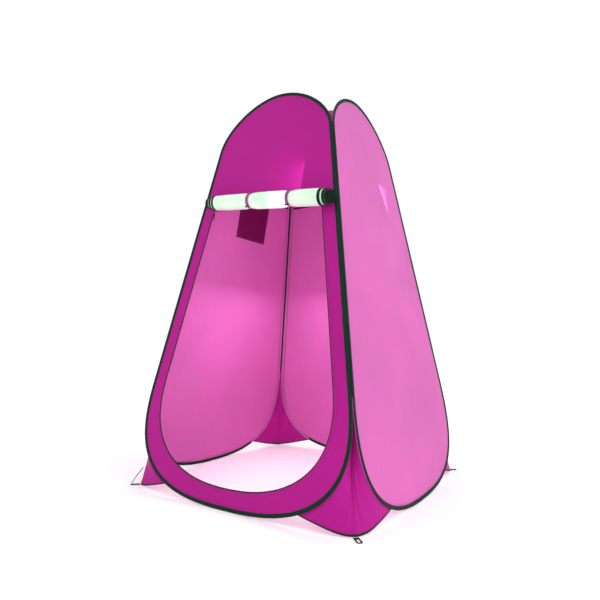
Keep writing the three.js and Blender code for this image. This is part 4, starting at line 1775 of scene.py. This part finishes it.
    def hem_piece(self, name: str, grid: np.ndarray) -> bpy.types.Object:
        """Binding tape folded over the cloth's lower edge."""
        line, out, down = self.hem_frame(grid)
        section = np.array([
            (0.0012, -0.0075), (0.0016, -0.0068), (0.0017, -0.0030), (0.0014, 0.0002), (0.0, 0.0009),
            (-0.0014, 0.0002), (-0.0017, -0.0030), (-0.0016, -0.0068), (-0.0012, -0.0075),
        ])
        rings = line[:, None] + out[:, None] * section[None, :, 0, None]
        rings = rings + down[:, None] * section[None, :, 1, None]
        rings[..., 2] = np.maximum(rings[..., 2], 0.0002)
        uv = np.stack(np.broadcast_arrays(
            arc_lengths(line)[:, None], arc_lengths(section, True)[None, :-1]
        ), -1)
        return section_sweep(name, rings, [self.shop.finishes.binding], False, 0, uv)

    def hem_stitches(self, grid: np.ndarray) -> bpy.types.Object:
        """Stitches along the hem tape, on the outside."""
        line, out, down = self.hem_frame(grid)
        row = line + out * 0.0019 - down * 0.0055
        facing = self.corner.signs * [0.7, 0.7, 0.0]
        return self.shop.rows.lay(
            f"{self.corner.label}_hem_stitches", [row], facing,
            (0.005, 0.0036, 0.0008, 0.0006), self.shop.finishes.dark_thread,
        )


@dataclass
class Roof:
    """Roof cloth that spans the four high curves and sags in the middle."""

    shop: Workshop
    sag: float = 0.012
    lift: float = 0.0008
    steps: int = 31

    def arc(self, side: Side) -> np.ndarray:
        """One high curve from the -x seam over the top to the +x seam, just inside the bead."""
        hoop = Hoop(side, high_steps=60)
        halves = []
        for edge in (-1, 1):
            half = hoop.half(edge)
            outside = half - turned_left(half, False) * (TENT.bead_out - self.lift)
            high = outside[half[:, 1] > TENT.high_arc[0] - 0.001]
            halves.append(high * [edge, 1])
        line = np.concatenate([halves[0], halves[1][-2::-1]])
        even = resampled(line, 2 * self.steps - 1)
        off = np.full((len(even), 1), -0.0010)
        return side.place(np.concatenate([even, off], 1))

    def build(self) -> bpy.types.Object:
        """Builds the roof.

        Returns:
            The piece, on the front wall's body.
        """
        front, right = self.arc(Side.FRONT), self.arc(Side.RIGHT)
        back, left = self.arc(Side.BACK)[::-1], self.arc(Side.LEFT)[::-1]
        count = len(front)
        u = np.linspace(0, 1, count)
        du = (u * (1 - u))[None, :]
        dv = (u * (1 - u))[:, None]
        along_y = front[None] * (1 - u)[:, None, None] + back[None] * u[:, None, None]
        along_x = left[:, None] * (1 - u)[None, :, None] + right[:, None] * u[None, :, None]
        total = np.maximum(du + dv, 1e-9)
        grid = along_x * (dv / total)[..., None] + along_y * (du / total)[..., None]
        grid[0], grid[-1], grid[:, 0], grid[:, -1] = front, back, left, right
        middle = 16 * du * dv
        grid[..., 2] -= self.sag * middle**1.2
        waves = noise_at(grid, (0.16, 0.2, 1.0), 6.1) * 0.004 * np.clip(middle * 2, 0, 1)
        grid[..., 2] += waves
        uv = grid[..., :2].copy()
        piece = Shell(grid, 0.0010, uv).build("roof_cloth", [self.shop.finishes.magenta])
        if signed_volume(piece.data) < 0:
            piece.data.flip_normals()
        self.shop.fit(piece, Side.FRONT.body, ["roof_panel"], "cloth")
        top = front[count // 2]
        tuple(Side.FRONT.outwards())
        tuple(top)
        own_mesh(piece)
        return piece


@dataclass
class StakeLoop:
    """Webbing loop for a tent peg, flat on the floor at a foot."""

    shop: Workshop
    corner: Corner
    length: float = 0.047
    width: float = 0.022
    webbing: float = 0.0055
    sewn: float = 0.012
    thick: float = 0.002

    def place(self, points: np.ndarray) -> np.ndarray:
        """Moves points from the loop's frame: outwards along the diagonal, across it and up."""
        p = np.asarray(points, float)
        sx, sy, _ = self.corner.signs
        out = np.array([sx, sy, 0.0]) * math.sqrt(0.5)
        side = np.array([-sy, sx, 0.0]) * math.sqrt(0.5)
        origin = np.array([sx, sy, 0.0]) * (TENT.foot + 0.003)
        return origin + p[..., 0:1] * out + p[..., 1:2] * side + p[..., 2:3] * np.array([0, 0, 1.0])

    def strap(self, name: str, path: np.ndarray, width: np.ndarray, up: np.ndarray) -> bpy.types.Object:
        """A flat strap along a path.

        Args:
            name: Name of the piece.
            path: Centre line in the loop's frame.
            width: Sideways vectors of half the strap's width at each point.
            up: Directions off the strap's face at each point.

        Returns:
            The piece.
        """
        half = self.thick / 2
        section = [(-1.0, -0.7), (-0.9, -1.0), (0.9, -1.0), (1.0, -0.7), (1.0, 0.7), (0.9, 1.0), (-0.9, 1.0),
                   (-1.0, 0.7)]
        rings = np.stack([path + width * a + up * half * b for a, b in section], 1)
        uv = np.stack(np.broadcast_arrays(
            arc_lengths(path)[:, None], np.array([a * 0.006 for a, _ in section])[None, :]
        ), -1)
        return section_sweep(name, self.place(rings), [self.shop.finishes.webbing], False, 0, uv)

    def build(self) -> None:
        """Builds the strap that runs out, round the end and back, and its bar tack."""
        reach = self.length - self.webbing / 2
        side = self.width / 2 - self.webbing / 2
        turn = np.linspace(-math.pi / 2, math.pi / 2, 15)
        bend = np.stack([reach - side * 0.55 + side * 0.55 * np.cos(turn), side * np.sin(turn)], 1)
        path = np.concatenate([
            np.stack([np.linspace(0.0, bend[0, 0], 10)[:-1], np.full(9, -side)], 1),
            bend,
            np.stack([np.linspace(bend[-1, 0], 0.0, 10)[1:], np.full(9, side)], 1),
        ])
        along = unit(np.gradient(path, axis=0))
        across = np.stack([-along[:, 1], along[:, 0], np.zeros(len(path))], 1) * self.webbing / 2
        lifted = np.concatenate([path, np.full((len(path), 1), self.thick / 2)], 1)
        up = np.tile([0.0, 0.0, 1.0], (len(path), 1))
        body = f"{self.corner.label}_stake_loop"
        piece = self.strap(f"{self.corner.label}_peg_loop", lifted, across, up)
        self.shop.fit(piece, body, [body], "webbing")
        base = np.array([[0.0, 0.0, 0.0011], [self.sewn, 0.0, 0.0011]])
        wide = np.tile([0.0, self.width / 2 - 0.001, 0.0], (2, 1))
        tab = self.strap(f"{self.corner.label}_peg_loop_tab", base, wide, up[:2])
        self.shop.fit(tab, body, slot="webbing")
        rows = [
            self.place(np.array([[x, -0.009, 0.0023], [x, 0.009, 0.0023]])) for x in (0.003, 0.006, 0.009)
        ]
        self.shop.stitches(f"{self.corner.label}_bar_tack", rows, np.array([0, 0, 1.0]), body, pitch=0.0016)


@dataclass
class RaisedStakeLoop(StakeLoop):
    """The front left loop: a tab out along the floor, and the loop standing and leaning back."""

    tab: float = 0.043
    tab_width: float = 0.012
    stand: float = 0.096
    lean: float = math.radians(55)

    def build(self) -> None:
        """Builds the tab and the standing loop."""
        body = f"{self.corner.label}_stake_loop"
        x = np.linspace(0.0, self.tab, 12)
        path = np.stack([x, 0 * x, 0.0011 + 0.0012 * np.sin(x / self.tab * np.pi)], 1)
        wide = np.tile([0.0, self.tab_width / 2, 0.0], (len(x), 1))
        up = np.tile([0.0, 0.0, 1.0], (len(x), 1))
        tab = self.strap(f"{self.corner.label}_peg_loop_tab", path, wide, up)
        self.shop.fit(tab, body, slot="webbing")
        side = self.width / 2 - self.webbing / 2
        turn = np.linspace(-math.pi / 2, math.pi / 2, 15)
        end = self.stand - self.webbing / 2
        bend = np.stack([end - side * 0.7 + side * 0.7 * np.cos(turn), side * np.sin(turn)], 1)
        start = np.stack([side * 0.5 - side * 0.5 * np.cos(turn), -side * np.sin(turn)], 1) + [0.003, 0]
        low = np.stack([np.linspace(start[-1, 0], bend[0, 0], 16)[1:-1], np.full(14, -side)], 1)
        high = np.stack([np.linspace(bend[-1, 0], start[0, 0], 16)[1:-1], np.full(14, side)], 1)
        ring = np.concatenate([start, low, bend, high])
        along = np.array([-math.cos(self.lean), 0.0, math.sin(self.lean)])
        lift = np.array([math.sin(self.lean), 0.0, math.cos(self.lean)])
        foot = np.array([self.tab - 0.001, 0.0, 0.0012])
        arch = 0.0025 * np.sin(ring[:, 0] / self.stand * np.pi)
        centre = foot + ring[:, :1] * along + ring[:, 1:] * [0.0, 1.0, 0.0] + arch[:, None] * lift
        direction = unit(np.roll(ring, -1, 0) - np.roll(ring, 1, 0))
        normal = np.stack([-direction[:, 1], direction[:, 0]], 1) * self.webbing / 2
        across = normal[:, :1] * along + normal[:, 1:] * [0.0, 1.0, 0.0]
        half = self.thick / 2
        section = [(-1.0, -0.7), (-0.9, -1.0), (0.9, -1.0), (1.0, -0.7), (1.0, 0.7), (0.9, 1.0), (-0.9, 1.0),
                   (-1.0, 0.7)]
        rings = np.stack([centre + across * a + lift * half * b for a, b in section], 1)
        rings[..., 2] = np.maximum(rings[..., 2], 0.0001)
        uv = np.stack(np.broadcast_arrays(
            arc_lengths(ring, True)[:-1, None], np.array([a * 0.006 for a, _ in section])[None, :]
        ), -1)
        loop = section_sweep(
            f"{self.corner.label}_peg_loop", self.place(rings), [self.shop.finishes.webbing], True, 0, uv
        )
        self.shop.fit(loop, body, [body], "webbing")


# ---------------------------------------------------------------- carried-over nodes


def dress_hardware(finishes: Finishes) -> None:
    """Gives the wires, ferrules, sliders and pulls their metal finishes.

    Args:
        finishes: The tent's finishes.
    """
    for name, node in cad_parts.items():
        finish = None
        if name.endswith(("_hoop_wire", "_wire_ferrule")):
            finish = finishes.steel
        elif name.startswith(("zip_slider", "zip_pull")):
            finish = finishes.casting
        if finish is not None:
            node.data.materials.clear()
            node.data.materials.append(finish)
            LOG.info("%s: %s", name, finish.name)


# ---------------------------------------------------------------- studio


@dataclass
class Studio:
    """Pale floor, soft lights and the camera."""

    focal: float = 29.26
    place: tuple[float, float, float] = (1.3540, -2.1727, 0.6781)
    yaw: float = math.radians(32.73)
    pitch: float = math.radians(5.062)
    roll: float = math.radians(0.72)

    def build(self) -> None:
        """Builds the floor, the lights, the surroundings and the camera."""
        self.floor()
        self.lights()
        self.surroundings()
        self.camera()

    def floor(self) -> None:
        """A wide plain floor, just under the tent."""
        bpy.ops.mesh.primitive_circle_add(vertices=96, radius=60, fill_type="NGON", location=(0, 0, -0.0006))
        floor = bpy.context.object
        floor.name = "studio_floor"
        g = Graph("pale_floor")
        surface = g.node("ShaderNodeBsdfPrincipled", {
            "Base Color": (0.985, 0.985, 0.985, 1.0), "Roughness": 0.9,
            "Emission Color": (1.0, 1.0, 1.0, 1.0), "Emission Strength": 0.14, "Specular IOR Level": 0.1,
        })
        g.tree.links.new(surface.outputs[0], g.output.inputs[0])
        floor.data.materials.append(g.material)

    def lights(self) -> None:
        """Soft lights: a large one from the right and two small fills inside the tent."""
        for name, energy, size, place, target in (
            ("right_softbox", 55.0, 3.2, (4.4, -0.2, 2.6), (0.3, 0.0, 0.9)),
            ("inside_softbox", 2.6, 0.8, (0.26, -0.20, 1.10), (-0.5, 0.05, 1.1)),
            ("inside_floor_softbox", 4.5, 0.5, (0.0, 0.0, 1.0), (0.0, 0.0, 0.0)),
        ):
            data = bpy.data.lights.new(name, "AREA")
            data.energy = energy
            data.size = size
            lamp = bpy.data.objects.new(name, data)
            lamp.visible_camera = False
            lamp.location = place
            aim = Vector(target) - Vector(place)
            lamp.rotation_euler = aim.to_track_quat("-Z", "Y").to_euler()
            bpy.context.scene.collection.objects.link(lamp)

    def surroundings(self) -> None:
        """An even white surround."""
        world = bpy.data.worlds.new("white_surround")
        world.use_nodes = True
        background = world.node_tree.nodes["Background"]
        background.inputs["Color"].default_value = (1.0, 1.0, 1.0, 1.0)
        background.inputs["Strength"].default_value = 1.0
        bpy.context.scene.world = world
        bpy.context.scene.view_settings.view_transform = "Standard"

    def camera(self) -> None:
        """The camera at a standing viewer's place, low and to the right of the front."""
        data = bpy.data.cameras.new("viewer")
        data.sensor_width = 36.0
        data.lens = self.focal
        camera = bpy.data.objects.new("viewer", data)
        ahead = Vector((
            -math.sin(self.yaw) * math.cos(self.pitch),
            math.cos(self.yaw) * math.cos(self.pitch),
            math.sin(self.pitch),
        ))
        right = Vector((math.cos(self.yaw), math.sin(self.yaw), 0.0))
        up = right.cross(ahead)
        right, up = (
            math.cos(self.roll) * right + math.sin(self.roll) * up,
            -math.sin(self.roll) * right + math.cos(self.roll) * up,
        )
        turn = Matrix((right, up, -ahead)).transposed().to_4x4()
        camera.matrix_world = Matrix.Translation(self.place) @ turn
        bpy.context.scene.collection.objects.link(camera)
        bpy.context.scene.camera = camera


# ---------------------------------------------------------------- the tent


def main() -> None:
    """Builds the studio and every sub-assembly of the tent."""
    logging.basicConfig(level=logging.INFO, format="%(name)s: %(message)s")
    Studio().build()
    finishes = Finishes()
    shop = Workshop(finishes, RowTree("rows_of_bars"))
    for side in Side:
        WallCloth(shop, side).build()
        Binding(shop, side).build()
        if side is not Side.FRONT:
            HangingTape(shop, side).build()
    for corner in Corner:
        CornerSeam(shop, corner).build()
        Gusset(shop, corner).build()
        loop = RaisedStakeLoop if corner is Corner.FRONT_LEFT else StakeLoop
        loop(shop, corner).build()
    Roof(shop).build()
    Pocket(shop).build()
    DoorZip(shop).build()
    roll = RolledDoor(shop)
    roll.build()
    for label, at in zip(("left", "right"), roll.ties):
        DoorTie(shop, roll, label, at).build()
    dress_hardware(finishes)


if __name__ == "__main__":
    main()
